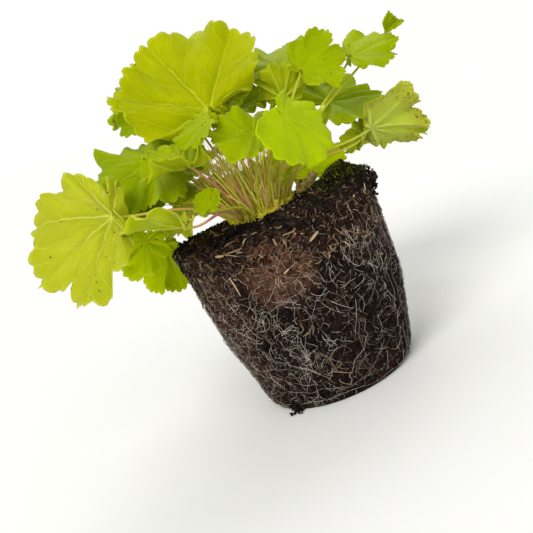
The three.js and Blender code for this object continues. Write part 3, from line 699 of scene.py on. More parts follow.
def reach(angle, tooth, leaf):
    """Reach of a blade at angles in degrees, for a leaf of half width 1."""
    turn = np.abs(angle)
    upper = np.clip(np.searchsorted(REACH[:, 0], turn - 1e-9), 1, len(REACH) - 1)
    (a0, r0), (a1, r1) = REACH[upper - 1].T, REACH[upper].T
    part = (turn - a0) / (a1 - a0)
    basal = np.where(angle > 0, leaf.left, leaf.right)
    shrink = 1 - (1 - basal) * np.clip((turn / LOBE - 1.4) / 1.2, 0, 1)
    uneven = (1 + 0.04 * np.sin(np.radians(2 * angle) + leaf.phase)
              + 0.03 * np.sin(np.radians(3 * angle) + 2.3 * leaf.phase))
    size = shrink * uneven * (r0 + (r1 - r0) * part * part * (3 - 2 * part))
    from_vein = np.abs((turn + LOBE / 2) % LOBE - LOBE / 2) / (LOBE / 2)
    return np.where(turn > EDGE + 1e-9, size,
                    size * (1 - leaf.notch * from_vein ** 3.6 + tooth))


def tooth_depth(angle, leaf):
    """Rounded teeth of uneven height; in a fine margin each has a shallow dent."""
    part = ((angle + EDGE) / TOOTH) % 1
    count = np.floor((angle + EDGE) / TOOTH)
    high = (TOOTH_FALL + TOOTH_RISE + 0.024 * np.sin(2.4 * count + leaf.phase)
            + 0.018 * np.sin(5.3 * count + 2 * leaf.phase))
    if leaf.fine:
        dent = TOOTH_DENT * (1 - np.abs(np.sin(2 * np.pi * part))) ** 1.3 * (part > 0.25)
        depth = -1.4 * TOOTH_FALL + 1.1 * high * np.sin(np.pi * part) ** 0.58 - dent
    else:
        depth = -1.5 * TOOTH_FALL + 1.25 * high * np.sin(np.pi * part) ** 0.9
        depth = 0.6 * depth if leaf.tone == "lime" else depth
    fade = np.clip(1 - (np.abs(angle) - EDGE) / TOOTH, 0, 1)
    return np.where(np.abs(angle) > EDGE, -TOOTH_FALL * fade, depth)


def fan(angle, size):
    """Flat place at an angle in degrees and a distance from the hub."""
    return size * np.cos(np.radians(angle)), size * np.sin(np.radians(angle))


def grown_place(angle, size, leaf):
    """Flat place of a point of the fan on a grown leaf, whose teeth are unevenly spaced."""
    uneven = TOOTH_WARP * np.sin(np.radians(7.3 * angle) + 2.7 * leaf.phase)
    return fan(fan_angle(angle, leaf) + uneven * (np.abs(angle) < EDGE), size)


def hub_place(leaf):
    return np.array((leaf.x, leaf.y, leaf.z + BALL_HEIGHT))


def bend_line(along, lift, curve):
    """Bends a line: the place along it and off it, for a lift from it."""
    if abs(curve) < 1e-6:
        return along, lift
    turn = along * curve
    return (np.sin(turn) / curve + lift * np.sin(turn),
            (np.cos(turn) - 1) / curve + lift * np.cos(turn))


def leaf_frame(leaf):
    """Unit vectors of a leaf's tip, left and face."""
    heading, rise, roll = np.radians((leaf.heading, leaf.rise, leaf.roll))
    tip = np.array((np.cos(rise) * np.cos(heading), np.cos(rise) * np.sin(heading), np.sin(rise)))
    flat_left = np.array((-np.sin(heading), np.cos(heading), 0))
    face = np.cross(tip, flat_left) * np.cos(roll) + flat_left * np.sin(roll)
    return tip, np.cross(face, tip), face


def blade_point(leaf, x, y, relief=0.0):
    """Place of a blade's middle surface from its flat place x along the midrib and y left."""
    tip, left, face = leaf_frame(leaf)
    half, phase = leaf.width / 2, leaf.phase
    turn = np.arctan2(y, x)
    wave = (np.sin(3 * turn + phase) + 0.6 * np.sin(5 * turn + 1.7 * phase)
            + 0.35 * np.sin(8 * turn + 0.6 * phase))
    crease = 0.08 * half
    lift = (0.6 * leaf.ruffle * wave * (np.hypot(x, y) / half) ** 2.2
            + leaf.fold * (np.hypot(y, crease) - crease) + relief)
    y1, z1 = bend_line(y / math.hypot(1, leaf.fold), lift, math.radians(leaf.sides) / half)
    x1, z2 = bend_line(x, z1, math.radians(leaf.droop) / half)
    return hub_place(leaf) + x1[:, None] * tip + y1[:, None] * left + z2[:, None] * face


# How deep veins are sunk and how wavy a blade is, by tone; all others are 1.
VEINED = {"lime": 0.15, "leafy": 0.45}
WAVY = {"lime": 0.4, "olive": 1.5, "green": 1.5, "shaded": 1.5, "sunlit": 1.5}
# How far the middle surface of a blade lies above its hub.
BLADE_LIFT = 0.15
# Height of each kind of relief of a blade, for a half width of 1.
RUFFLE, FINE_RUFFLE, SLOW_RUFFLE, LIME_RUFFLE = 0.055, 0.040, 0.045, 0.015
CRIMP, CURL, QUILT, ARCH, SUNK_VEIN = 0.018, 0.10, 0.026, 0.045, 0.010
BLADE_THICK = 0.34
VEIN_THICK = 1.0


def vein_share(x, y, half):
    """How far a place on the blade belongs to a main vein, and to the arches between veins."""
    angle = np.degrees(np.arctan2(y, x))
    local = np.radians(angle - LOBE * np.rint(angle / LOBE))
    radius = np.hypot(x, y)
    across = np.abs(radius * np.sin(local))
    along = radius * np.cos(local)
    width = np.maximum(0.035 * half * (1.15 - radius / half), 0.25)
    main = np.exp(-(across / width) ** 2) * (np.abs(angle) < EDGE)
    line = (along - 1.1 * across + 0.5 * across * across / half) / (0.17 * half)
    line += 0.25 * np.sign(local)
    quilt = np.abs(np.cos(np.pi * line)) ** 0.7
    arch = np.sin(np.minimum(np.abs(local) / math.radians(LOBE / 2), 1) * np.pi / 2)
    return main, quilt, arch


def blade(name, leaf, per_tooth, rings):
    """Blade of a leaf, thin between its veins."""
    half, phase = leaf.width / 2, leaf.phase
    slow = LIME_RUFFLE if leaf.tone == "lime" else SLOW_RUFFLE
    veined = VEINED.get(leaf.tone, 1.0)
    wavy = WAVY.get(leaf.tone, 1.0)
    wavy = min(wavy, 1.0) if "right" in name else wavy
    angles = np.concatenate([np.linspace(180, EDGE, per_tooth + 1)[:-1],
                             np.linspace(EDGE, -EDGE, TEETH * per_tooth + 1),
                             np.linspace(-EDGE, -180, per_tooth + 1)[1:]])
    depths = tooth_depth(angles, leaf)
    shares = np.linspace(0, 1, rings + 1) ** 0.9

    def size(column, row):
        share = shares[row]
        return half * share * reach(angles[column], depths[column] * share ** 5, leaf)

    def place(column, row):
        angle, share = angles[column], shares[row]
        main, quilt, arch = vein_share(*fan(angle, size(column, row)), half)
        grown = np.minimum(1, 5 * share)
        crimp = np.cos(np.radians(angle) * 360 / TOOTH)
        turn = np.radians(angle)
        ruffle = (RUFFLE * np.sin(11 * turn + phase + 2.0 * share) * share ** 2.5
                  + FINE_RUFFLE * np.sin(17 * turn + 2.3 * phase + 4.0 * share) * share ** 3
                  + slow * np.sin(5 * turn + 1.3 * phase + 3.0 * share) * share ** 1.5)
        curl = np.clip(np.sin(2.3 * turn + 1.9 * phase) * np.sin(3.7 * turn + phase), -0.3, 1)
        puffed = QUILT * quilt * arch * (1 - share ** 6) + ARCH * arch * share - SUNK_VEIN * main
        relief = BLADE_LIFT + half * (
            wavy * ruffle - CRIMP * crimp * share ** 7 + CURL * curl * share ** 6
            + grown * veined * puffed)
        return blade_point(leaf, *grown_place(angle, size(column, row), leaf), relief)

    maps = {"flat": lambda column, row: np.stack(
                fan(angles[column], size(column, row)), -1) / half,
            "reach": lambda column, row: np.stack([np.full(len(row), half), shares[row]], -1)}
    under = FRECKLED_UNDER if name.startswith("leaf_far_right") else UNDER
    faces = (BLADES[leaf.tone], under) if leaf.tone in BLADES else (WITHERED, WITHERED)
    piece = sheet(name, len(angles) - 1, rings, place, maps, *faces)
    thin_between_veins(piece, half)
    return piece


def thin_between_veins(piece, half):
    """Gives a blade its thickness, most along the main veins near the hub."""
    mesh = piece.data
    loops = vertex_of_loops(mesh)
    spread = np.zeros(2 * len(loops))
    mesh.uv_layers["flat"].data.foreach_get("uv", spread)
    flat = np.zeros((len(mesh.vertices), 2))
    flat[loops] = spread.reshape(-1, 2) * half
    main, _, _ = vein_share(*flat.T, half)
    out = np.clip(np.hypot(*flat.T) / half, 0, 1)
    thick = BLADE_THICK + (VEIN_THICK - BLADE_THICK) * main * (1 - out) ** 0.8
    group = piece.vertex_groups.new(name="thickness")
    for index, weight in enumerate(thick / VEIN_THICK):
        group.add([index], float(weight), "REPLACE")
    solid = piece.modifiers.new("thickness", "SOLIDIFY")
    solid.thickness = VEIN_THICK * MM
    solid.offset = -1
    solid.vertex_group = "thickness"
    solid.use_rim = True
    solid.material_offset = 1
    bpy.context.view_layer.objects.active = piece
    bpy.ops.object.modifier_apply(modifier="thickness")
    piece.vertex_groups.clear()


def stem_foot(leaf):
    foot = CROWN + polar(math.radians(leaf.foot_turn), leaf.foot_ring, FOOT_RISE)
    away = np.array((leaf.x - foot[0], leaf.y - foot[1], 0.0))
    spread = min(0.7, 0.75 * np.linalg.norm(away) / (leaf.z + 12))
    return foot, unit(unit(away) * spread + np.array((0, 0, 1)))


def stem_path(leaf, steps):
    tip, _, face = leaf_frame(leaf)
    foot, leave = stem_foot(leaf)
    hub = hub_place(leaf) - 0.1 * face
    start = foot + FOOT_LENGTH * leave
    span = hub - start
    length = np.linalg.norm(span)
    arrive = unit(0.75 * span / length + 0.3 * tip + 0.35 * face)
    second, third = start + 0.38 * length * leave, hub - 0.3 * length * arrive
    s = np.linspace(0, 1, steps)[:, None]
    t = 1 - s
    curve = t ** 3 * start + 3 * s * t * t * second + 3 * s * s * t * third + s ** 3 * hub
    return np.concatenate([[foot, (foot + start) / 2], curve])


def tube(name, path, radii, sides, material):
    """A closed round bar along a path."""
    ahead = unit(np.gradient(path, axis=0))
    across = SIDEWAYS
    sideways = []
    for direction in ahead:
        across = unit(across - direction * (across @ direction))
        sideways.append(across)
    sideways = np.array(sideways)
    upward = np.cross(ahead, sideways)
    rows = np.concatenate([[0], np.arange(len(path)), [len(path) - 1]])
    widths = np.concatenate([[0], radii, [0]])

    def place(column, row):
        turn = -2 * np.pi * column[:, None] / sides
        at = rows[row]
        return path[at] + widths[row][:, None] * (
            sideways[at] * np.cos(turn) + upward[at] * np.sin(turn))

    lengths = np.concatenate([[0], np.cumsum(np.linalg.norm(np.diff(path, axis=0), axis=1))])
    shares = lengths / lengths[-1]

    def along(column, row):
        return np.stack([column / sides, shares[rows[row]]], -1)

    return sheet(name, sides, len(rows) - 1, place, {"flat": along, "reach": along}, material)


def upper_places(piece, count, draw, lift_up):
    """Random places and normals on the upper face of a blade."""
    chosen = [face for face in piece.data.polygons if face.material_index == 0]
    areas = np.array([face.area for face in chosen])
    picks = draw.choice(len(chosen), size=count, p=areas / areas.sum())
    places = np.array([tuple(chosen[i].center) for i in picks]) / MM
    normals = np.array([tuple(chosen[i].normal) for i in picks])
    return places + normals * lift_up, normals


# Hairs a millimetre of stem, and a millimetre of a blade's width.
STEM_HAIRS, MARGIN_HAIRS = 2.2, 1.6
HAIR_RADIUS = 0.045
STEM_HAIR_LENGTHS, MARGIN_HAIR_LENGTHS = (0.5, 1.3), (0.35, 0.8)


def leaf_hairs(name, leaf, path, radii, draw):
    """Short hairs that stand off the stem and the margin."""
    count = int(STEM_HAIRS * np.linalg.norm(np.diff(path, axis=0), axis=1).sum())
    at = draw.uniform(2, len(path) - 1.01, count)
    low = at.astype(int)
    places = path[low] + (path[low + 1] - path[low]) * (at - low)[:, None]
    ahead = unit(path[low + 1] - path[low])
    out = unit(np.cross(ahead, draw.normal(size=(count, 3))))
    places = places + out * (radii[low] * 0.9)[:, None]
    directions = unit(out + 0.3 * ahead * draw.normal(size=(count, 1)))
    lengths = draw.uniform(*STEM_HAIR_LENGTHS, count)
    angle = draw.uniform(-EDGE, EDGE, int(MARGIN_HAIRS * leaf.width))
    size = leaf.width / 2 * reach(angle, tooth_depth(angle, leaf), leaf)
    x, y = grown_place(angle, size, leaf)
    edge = blade_point(leaf, x, y)
    outward = unit(edge - blade_point(leaf, 0.97 * x, 0.97 * y))
    outward = unit(outward + 0.35 * draw.normal(size=outward.shape))
    places = np.concatenate([places, edge])
    directions = np.concatenate([directions, outward])
    lengths = np.concatenate([lengths, draw.uniform(*MARGIN_HAIR_LENGTHS, len(edge))])
    return copies(f"{name}_hairs", SPIKE, places,
                  spike_frames(directions, np.full(len(places), HAIR_RADIUS), lengths),
                  np.full(len(places), 0.5), HAIR, True)


# Leaves that carry dew drops, and how many; the rest carry a few. The drops' pale colour is a
# painted glint.
DEW_DROPS = {"leaf_front_bright": 34, "leaf_upper_right": 12, "leaf_top_right": 10,
             "leaf_front_small": 10, "leaf_far_left": 10, "leaf_top_left": 6}
FEW_DROPS = 2
DROP_RADII = (0.12, 0.28)
# Height of a drop beside its radius.
DROP_RISE = 0.55
# Leaves that carry specks of soil.
SOIL_SPECKS = {"leaf_inner_left": 22, "leaf_far_left": 20, "leaf_front_left": 8,
               "leaf_hanging_left": 6, "leaf_top_left": 5, "leaf_front_narrow": 4}
FEW_SPECKS = 2
SPECK_RADII = (0.15, 0.38)


def drops_and_specks(name, piece, draw):
    """Flat dew drops, pale as painted glints, and soil specks on the upper face of a blade."""
    drops = DEW_DROPS.get(name, FEW_DROPS)
    places, normals = upper_places(piece, drops, draw, 0.02)
    sizes = draw.uniform(*DROP_RADII, drops)
    dew = copies(f"{name}_dew", GRAIN, places,
                 spike_frames(normals, sizes, DROP_RISE * sizes), np.full(drops, 0.5), DEW_AND_GLINT, True)
    specks = SOIL_SPECKS.get(name, FEW_SPECKS)
    places, _ = upper_places(piece, specks, draw, 0.1)
    sizes = draw.uniform(*SPECK_RADII, specks)
    soil = copies(f"{name}_specks", GRAIN, places, turned(specks, draw) * sizes[:, None, None],
                  draw.uniform(0.2, 0.8, specks), CRUMB)
    return dew, soil


# Blades wider than this are large; columns a tooth and rings of large and small ones.
LARGE_BLADE = 52
LARGE_GRID, SMALL_GRID = (8, 22), (6, 13)
STEM_STEPS, STEM_SIDES = 16, 10


def make_leaf(number, name, leaf):
    draw = np.random.default_rng(100 + number)
    grid = LARGE_GRID if leaf.width > LARGE_BLADE else SMALL_GRID
    piece = blade(f"{name}_living", leaf, *grid)
    path = stem_path(leaf, STEM_STEPS)
    share = np.linspace(0, 1, len(path))
    radii = STEM_FOOT_RADIUS + (STEM_TOP_RADIUS - STEM_FOOT_RADIUS) * share
    radii = radii * (1 + 0.04 * np.sin(9 * share + number))
    stem = tube(f"{name}_stem", path, radii, STEM_SIDES, STEMS[leaf.stem])
    hairs = leaf_hairs(name, leaf, path, radii, draw)
    join(piece, [stem, hairs, *drops_and_specks(name, piece, draw)])
    finish_piece(piece, "leaf", name)


GRAIN = crumb_model()
for number, (name, leaf) in enumerate(LEAVES.items()):
    make_leaf(number, name, leaf)


# ---- root ball ----------------------------------------------------------

def profile_radius(part):
    heights, radii = np.array(BALL_PROFILE).T
    return np.interp(part, heights, radii)


def side_radius(turn, part):
    waves = (0.55 * np.sin(3 * turn + 5 * part + 0.6) + 0.4 * np.sin(7 * turn - 9 * part + 2.1)
             + 0.3 * np.sin(11 * turn + 14 * part + 4.2))
    slim = RIGHT_SLIM * np.maximum(0, np.cos(turn)) * part ** 3
    return profile_radius(part) + waves * np.minimum(1, 6 * part) - slim


def rim_height(turn):
    return (BALL_HEIGHT - BACK_DIP * np.maximum(0, np.sin(turn)) ** 1.5
            + 0.5 * np.sin(5 * turn + 1) + 0.4 * np.sin(9 * turn))


def soil_height(x, y):
    turn = np.arctan2(y, x)
    out = np.minimum(1, np.hypot(x, y) / side_radius(turn, np.ones_like(turn)))
    level = SOIL_LEVEL + (rim_height(turn) - SOIL_LEVEL) * out ** 2
    mounds = sum(height * np.exp(-((x - at_x) ** 2 + (y - at_y) ** 2) / spread ** 2)
                 for at_x, at_y, spread, height in MOUNDS)
    fade = np.minimum(1, 5 * (1 - out))
    return (level + SOIL_DOME * (1 - out ** 2) + mounds * (0.35 + 0.65 * fade)
            + 0.5 * fade * np.sin(0.33 * x + 1) * np.sin(0.29 * y))


def on_soil(x, y):
    return np.stack([x, y, soil_height(x, y)], -1)


def ball_point(turn, part, lift=0.0):
    radius = side_radius(turn, part) + lift
    x, y = radius * np.cos(turn), radius * np.sin(turn)
    rise = soil_height(x, y) - rim_height(turn)
    return np.stack([x, y, part * rim_height(turn) + rise * part ** 8], -1)


BALL_COLUMNS = 240
BASE_ROWS, SIDE_ROWS, TOP_ROWS = 22, 92, 50


def make_ball():
    """Peat plug: flat base, side and open top in one skin, crumbled all over."""
    def place(column, row):
        turn = 2 * np.pi * column / BALL_COLUMNS
        part = np.clip((row - BASE_ROWS) / SIDE_ROWS, 0, 1)
        points = ball_point(turn, part)
        on_base = row < BASE_ROWS
        points[on_base] *= (row[on_base] / BASE_ROWS)[:, None]
        on_top = row > BASE_ROWS + SIDE_ROWS
        inward = 1 - (row[on_top] - BASE_ROWS - SIDE_ROWS) / TOP_ROWS
        x, y = points[on_top, 0] * inward, points[on_top, 1] * inward
        points[on_top] = on_soil(x, y)
        crumble = 0.9 * rough(points, 5.0, 1) + 0.8 * rough(points, 1.7, 2, 2)
        side = np.where(on_top | on_base, 0.0, np.minimum(1, 8 * part))
        side = side * np.where(part > 0.93, 1.2, 0.55)
        points += polar(turn, 1.0, 0.0) * (crumble * side)[:, None]
        inside = np.minimum(1, 12 * (1 - np.hypot(points[:, 0], points[:, 1]) / 50))
        points[:, 2] += np.where(on_top, crumble * inside, 0.0)
        return points

    ball = sheet("root_ball_peat", BALL_COLUMNS, BASE_ROWS + SIDE_ROWS + TOP_ROWS, place, {},
                 PEAT)
    in_edit(ball, bpy.ops.mesh.normals_make_consistent, inside=False)
    finish_piece(ball, "soil", "root_ball")


def side_places(count, draw, low, high, depth):
    """Random places on the side of the ball, with their outward directions."""
    turn = draw.uniform(0, 2 * np.pi, count)
    part = draw.uniform(low, high, count)
    return ball_point(turn, part, depth), polar(turn, 1.0, 0.0)


def from_crown(places):
    return np.hypot(places[:, 0] - CROWN[0], places[:, 1])


def top_places(count, draw, outer=1.0):
    """Random places on the open soil."""
    turn = draw.uniform(0, 2 * np.pi, count)
    radius = outer * np.sqrt(draw.uniform(0, 1, count)) * side_radius(turn, np.ones(count))
    return on_soil(radius * np.cos(turn), radius * np.sin(turn))


# Heaps of loose grains on the right lip, on the left and at the foot of the ball: middle,
# spread and number.
HEAPS = [((43.5, -13.0, 83.5), (2.2, 2.6, 2.4), 160),
         ((-17.0, -30.0, 86.6), (6.0, 2.2, 1.5), 300),
         ((-26.0, -27.0, 2.6), (1.5, 1.5, 1.9), 70)]


TOP_GRAINS, LIP_GRAINS, SIDE_GRAINS = 2200, 1500, 900


def make_crumbs():
    """Loose grains on the open soil, its lip and, finer, between the roots."""
    draw = np.random.default_rng(7)
    top = top_places(TOP_GRAINS, draw)
    top = top[from_crown(top) >= CROWN_RADIUS - 3]
    top[:, 2] += draw.uniform(-0.3, 0.9, len(top))
    lip, _ = side_places(LIP_GRAINS, draw, 0.86, 1.0, 0.2)
    side, _ = side_places(SIDE_GRAINS, draw, 0.02, 0.9, 0.0)
    clod, heap, chunk = [np.array(middle) + draw.normal(size=(count, 3)) * np.array(spread)
                         for middle, spread, count in HEAPS]
    chunk[:, 2] = np.maximum(chunk[:, 2], 0.8)
    places = np.concatenate([top, lip, side, clod, heap, chunk])
    sizes = np.concatenate([
        0.45 + 0.9 * draw.random(len(top)) ** 2.5, 0.4 + 0.8 * draw.random(len(lip)) ** 2.5,
        0.3 + 0.4 * draw.random(len(side)), draw.uniform(0.6, 1.3, len(clod)),
        draw.uniform(0.4, 1.2, len(heap)), draw.uniform(0.5, 0.8, len(chunk))])
    stretch = draw.uniform(0.6, 1.25, (len(places), 1, 3))
    grains = copies("soil_crumbs", GRAIN, places,
                    turned(len(places), draw) * stretch * sizes[:, None, None],
                    draw.beta(1.6, 2.2, len(places)), CRUMB)
    finish_piece(grains, "soil")


LIP_CHIPS, SIDE_CHIPS, TOP_CHIPS = 1150, 110, 620
CHIP_BEND = 0.12
CHIP_SIDES = 4


def lying_bars(name, places, normals, lengths, widths, tones, draw, material):
    """Short bent bars that lie against a surface."""
    heading = unit(np.cross(normals, draw.normal(size=normals.shape)))
    heading = unit(heading + 0.25 * normals * draw.normal(size=(len(places), 1)))
    steps = np.linspace(-0.5, 0.5, 4)
    bow = unit(np.cross(heading, normals)) * draw.normal(size=(len(places), 1)) * CHIP_BEND
    paths = (places[:, None] + heading[:, None] * (lengths[:, None] * steps)[:, :, None]
             + bow[:, None] * (lengths[:, None] * (0.25 - steps ** 2) * 4)[:, :, None])
    radii = widths[:, None] * np.array((0.55, 1.0, 0.95, 0.5))
    return strands(name, paths, radii, CHIP_SIDES, tones, material)


def make_straws():
    """Chips, straws and bits of bark in the top band and on the soil."""
    draw = np.random.default_rng(11)
    lip, lip_normals = side_places(LIP_CHIPS, draw, 0.74, 1.0, 0.5)
    side, side_normals = side_places(SIDE_CHIPS, draw, 0.1, 0.76, 0.5)
    top = top_places(TOP_CHIPS, draw, 0.97)
    top = top[from_crown(top) > CROWN_RADIUS]
    top[:, 2] += 0.6
    up = np.tile((0.0, 0.0, 1.0), (len(top), 1))
    places = np.concatenate([lip, side, top])
    normals = np.concatenate([lip_normals, side_normals, up])
    count = len(places)
    chips = lying_bars("straw_chips", places, normals, 1.4 + 5.0 * draw.random(count) ** 2.5,
                       0.11 + 0.34 * draw.random(count) ** 2, draw.beta(1.6, 2.0, count), draw,
                       STRAW)
    finish_piece(chips, "soil")


# Single pieces that stand out on the front: x, height, slope in degrees, length, half
# width, tone.
SINGLE_STRAWS = [(-28.8, 68.1, -81, 9.5, 0.36, 0.98), (-3.5, 20.5, -79, 10.3, 0.62, 0.34),
                 (-1.1, 14.7, -32, 9.6, 0.34, 0.62), (9.7, 77.0, 27, 5.3, 0.85, 0.85),
                 (-6.0, 67.9, 24, 3.0, 0.42, 1.0), (-29.2, 83.5, -8, 3.4, 0.8, 0.8),
                 (-22.7, 83.8, 2, 7.2, 0.5, 0.6), (-5.8, 81.4, -85, 3.6, 0.8, 0.66),
                 (-13.7, 78.0, 51, 5.6, 0.32, 0.7), (-23.2, 74.8, -143, 5.6, 0.32, 0.55),
                 (20.7, 73.5, -64, 5.0, 0.3, 0.7), (31.0, 65.6, 28, 4.3, 0.3, 0.66),
                 (3.8, 57.2, -32, 3.9, 0.4, 0.58), (3.2, 66.6, -57, 4.1, 0.6, 0.5),
                 (-24.7, 82.5, -26, 6.5, 0.34, 0.7), (-8.4, 37.7, 2, 2.3, 0.5, 0.6),
                 (-9.4, 41.7, -80, 3.3, 0.34, 0.6), (-35.3, 80.0, -52, 4.8, 0.3, 0.5),
                 (23.1, 70.0, -60, 6.6, 0.28, 0.6), (0.7, 83.0, -1, 5.3, 0.4, 0.7)]


def make_single_straws():
    x, height, slope, length, width, tone = np.array(SINGLE_STRAWS).T
    steps = np.linspace(-0.5, 0.5, 6)
    slope = np.radians(slope)
    x = x[:, None] + (length * np.cos(slope))[:, None] * steps
    z = height[:, None] + (length * np.sin(slope))[:, None] * steps
    turn = -np.arccos(x / profile_radius(z / BALL_HEIGHT))
    paths = root_point(turn, z, 0.9)
    radii = 0.72 * width[:, None] * np.array((0.6, 0.95, 1.0, 1.0, 0.9, 0.5))
    finish_piece(strands("long_straws", paths, radii, 6, tone, STRAW), "soil")


# ---- roots --------------------------------------------------------------

ROOT_LIFT = 1.25


def root_point(turn, height, lift):
    part = np.clip(height / rim_height(turn), 0, 1)
    radius = side_radius(turn, part) + lift
    return polar(turn, radius, height)


def wandering(draw, mat, lengths):
    """Turn and height along roots that wander over the side, (count, steps) each."""
    count, steps, curl = mat["count"], mat["steps"], mat["curl"]
    start = np.where(draw.random(count) < mat["falling"], draw.normal(-1.2, 0.45, count),
                     draw.uniform(-np.pi, np.pi, count))
    bends = draw.normal(0, curl, (count, 1)) + draw.normal(0, 0.7 * curl, (count, steps - 1))
    headings = start[:, None] + np.cumsum(bends, axis=1)
    step = lengths / (steps - 1)
    turn = np.empty((count, steps))
    height = np.empty((count, steps))
    turn[:, 0] = draw.uniform(0, 2 * np.pi, count)
    height[:, 0] = draw.uniform(2, mat["highest"], count)
    for k in range(steps - 1):
        radius = profile_radius(height[:, k] / BALL_HEIGHT)
        turn[:, k + 1] = turn[:, k] + step * np.cos(headings[:, k]) / radius
        height[:, k + 1] = np.clip(height[:, k] + step * np.sin(headings[:, k]),
                                   1.3, BALL_HEIGHT - 3)
    return turn, height


def near(x, height, spot):
    """How near a place on the front is to a spot: x, height and the two half widths."""
    at_x, at_height, wide, high = spot
    return np.exp(-((x - at_x) / wide) ** 2 - ((height - at_height) / high) ** 2)


# Where the roots are whitest, and a spot low on the right of the front where fewer are white, as
# painted shade.
PALE_SPOTS = [(-30, 46, 18, 22), (-12, 30, 14, 16), (30, 60, 12, 18), (8, 58, 16, 10)]
PAINTED_SHADE_SPOT = (14, 34, 15, 16)


def root_tone(turn, height, draw):
    """Whiter in the pale spots, browner toward the rusty patch and the top, and darker in a spot
    of painted shade.
    """
    front = np.sin(turn[:, 0]) < 0
    x = np.where(front, 45 * np.cos(turn[:, 0]), -45 * np.cos(turn[:, 0]))
    level = height[:, 0]
    pale = np.clip(sum(near(x, level, spot) for spot in PALE_SPOTS), 0, 1)
    rust = near(x, level, (RUST_X, RUST_HEIGHT, 20, 17)) * front
    # Fewer roots are white in the spot of painted shade.
    share = (0.30 + 0.24 * pale - 0.04 * rust - 0.08 * near(x, level, PAINTED_SHADE_SPOT)
             - 0.14 * np.clip((level - 66) / 16, 0, 1) - 0.06 * np.clip((28 - level) / 14, 0, 1))
    white = draw.random(len(share)) < share
    tone = np.where(white, 0.72 + 0.1 * pale, 0.04 + 0.16 * rust)
    return np.clip(tone + draw.normal(0, 0.12, len(tone)), 0.0, 1)


ROOT_SIDES = 3
ROOT_MATS = {
    "fine_roots": {"count": 4700, "steps": 7, "curl": 0.17, "falling": 0.1, "highest": 82,
                   "length": (3, 12), "radius": (0.04, 0.09)},
    "root_fuzz": {"count": 5000, "steps": 4, "curl": 0.5, "falling": 0.0, "highest": 82,
                  "length": (1.5, 5), "radius": (0.04, 0.08)},
    "long_roots": {"count": 520, "steps": 15, "curl": 0.09, "falling": 0.4, "highest": 78,
                   "length": (8, 26), "radius": (0.055, 0.105)},
}


def root_mat(name, mat, draw):
    count = mat["count"]
    turn, height = wandering(draw, mat, draw.uniform(*mat["length"], count))
    along = np.linspace(0, 1, mat["steps"])
    waves = along * draw.uniform(0.5, 2, (count, 1)) + draw.random((count, 1))
    lift = (draw.uniform(0.1, 0.95, (count, 1)) + 0.35 * np.sin(2 * np.pi * waves)
            - 0.9 * (2 * along - 1) ** 6)
    radii = draw.uniform(*mat["radius"], (count, 1)) * (1 - 0.4 * along)
    return strands(name, root_point(turn, height, lift), radii, ROOT_SIDES,
                   root_tone(turn, height, draw), ROOT)


def ring_level(turn):
    return RING_HEIGHT + 2 * np.sin(2 * turn) + 1.2 * np.sin(5 * turn)


def net_strands():
    """The longer roots of the frame's net, and the ones that circle its foot."""
    draw = np.random.default_rng(29)
    s = np.linspace(0, 1, 3 * STRAND_STEPS + 1)
    own = np.arange(STRANDS)[:, None]
    start = 2 * np.pi * (own + 0.35 * np.sin(7 * own)) / STRANDS
    drift = 0.4 * np.sin(2.4 * own + 1)
    top = BALL_HEIGHT * (0.62 + 0.26 * np.sin(4.1 * own))
    wiggle = 0.6 * np.sin(23 * s + own) + 0.35 * np.sin(41 * s + 2 * own)
    turn = (start + drift * s + 0.1 * np.sin(6 * s + own) * np.sin(np.pi * s)
            + 0.016 * np.sin(31 * s + 3 * own))
    height = top + (ring_level(start + drift) - top) * s + wiggle
    paths = root_point(turn, height, ROOT_LIFT - 0.5 + 0.3 * wiggle)
    radii = 0.14 * np.linspace(0.6, 1, len(s)) * np.ones((STRANDS, 1))
    long = strands("net_roots", paths, radii, 6, draw.uniform(0.35, 0.65, STRANDS), ROOT)
    ring = np.linspace(0, 2 * np.pi, RING_STEPS + 1)
    uneven = 0.8 * np.sin(13 * ring) + 0.5 * np.sin(29 * ring)
    hoops = np.stack([
        root_point(ring, ring_level(ring) + uneven, ROOT_LIFT - 0.55),
        root_point(ring, 2.6 + 1.1 * np.sin(3 * ring + 1) + 0.6 * np.sin(11 * ring), 0.3)])
    thin = 0.10 + 0.05 * np.sin(np.array([[3], [2]]) * ring + 1)
    return [long, strands("ring_roots", hoops, thin, 5, np.array((0.55, 0.75)), ROOT)]


def make_roots():
    """Mat of fine roots, and the longer roots of the frame's net."""
    draw = np.random.default_rng(23)
    fine, fuzz, long = [root_mat(name, mat, draw) for name, mat in ROOT_MATS.items()]
    finish_piece(fine, "roots")
    finish_piece(fuzz, "roots")
    mat = join(long, net_strands())
    mat.name = mat.data.name = "root_mat"
    finish_piece(mat, "roots", "root_net")


# ---- crown, moss and withered leaf --------------------------------------

def crown_height(out):
    return CROWN[2] + CROWN_DOME * (1 - CROWN_FALL * out ** 2)


SCALES = 420
# Stubs: radii at their foot and end, and the steps and sides of each.
STUB_RADII = (1.35, 1.1)
STUB_STEPS, STUB_SIDES = 7, 9


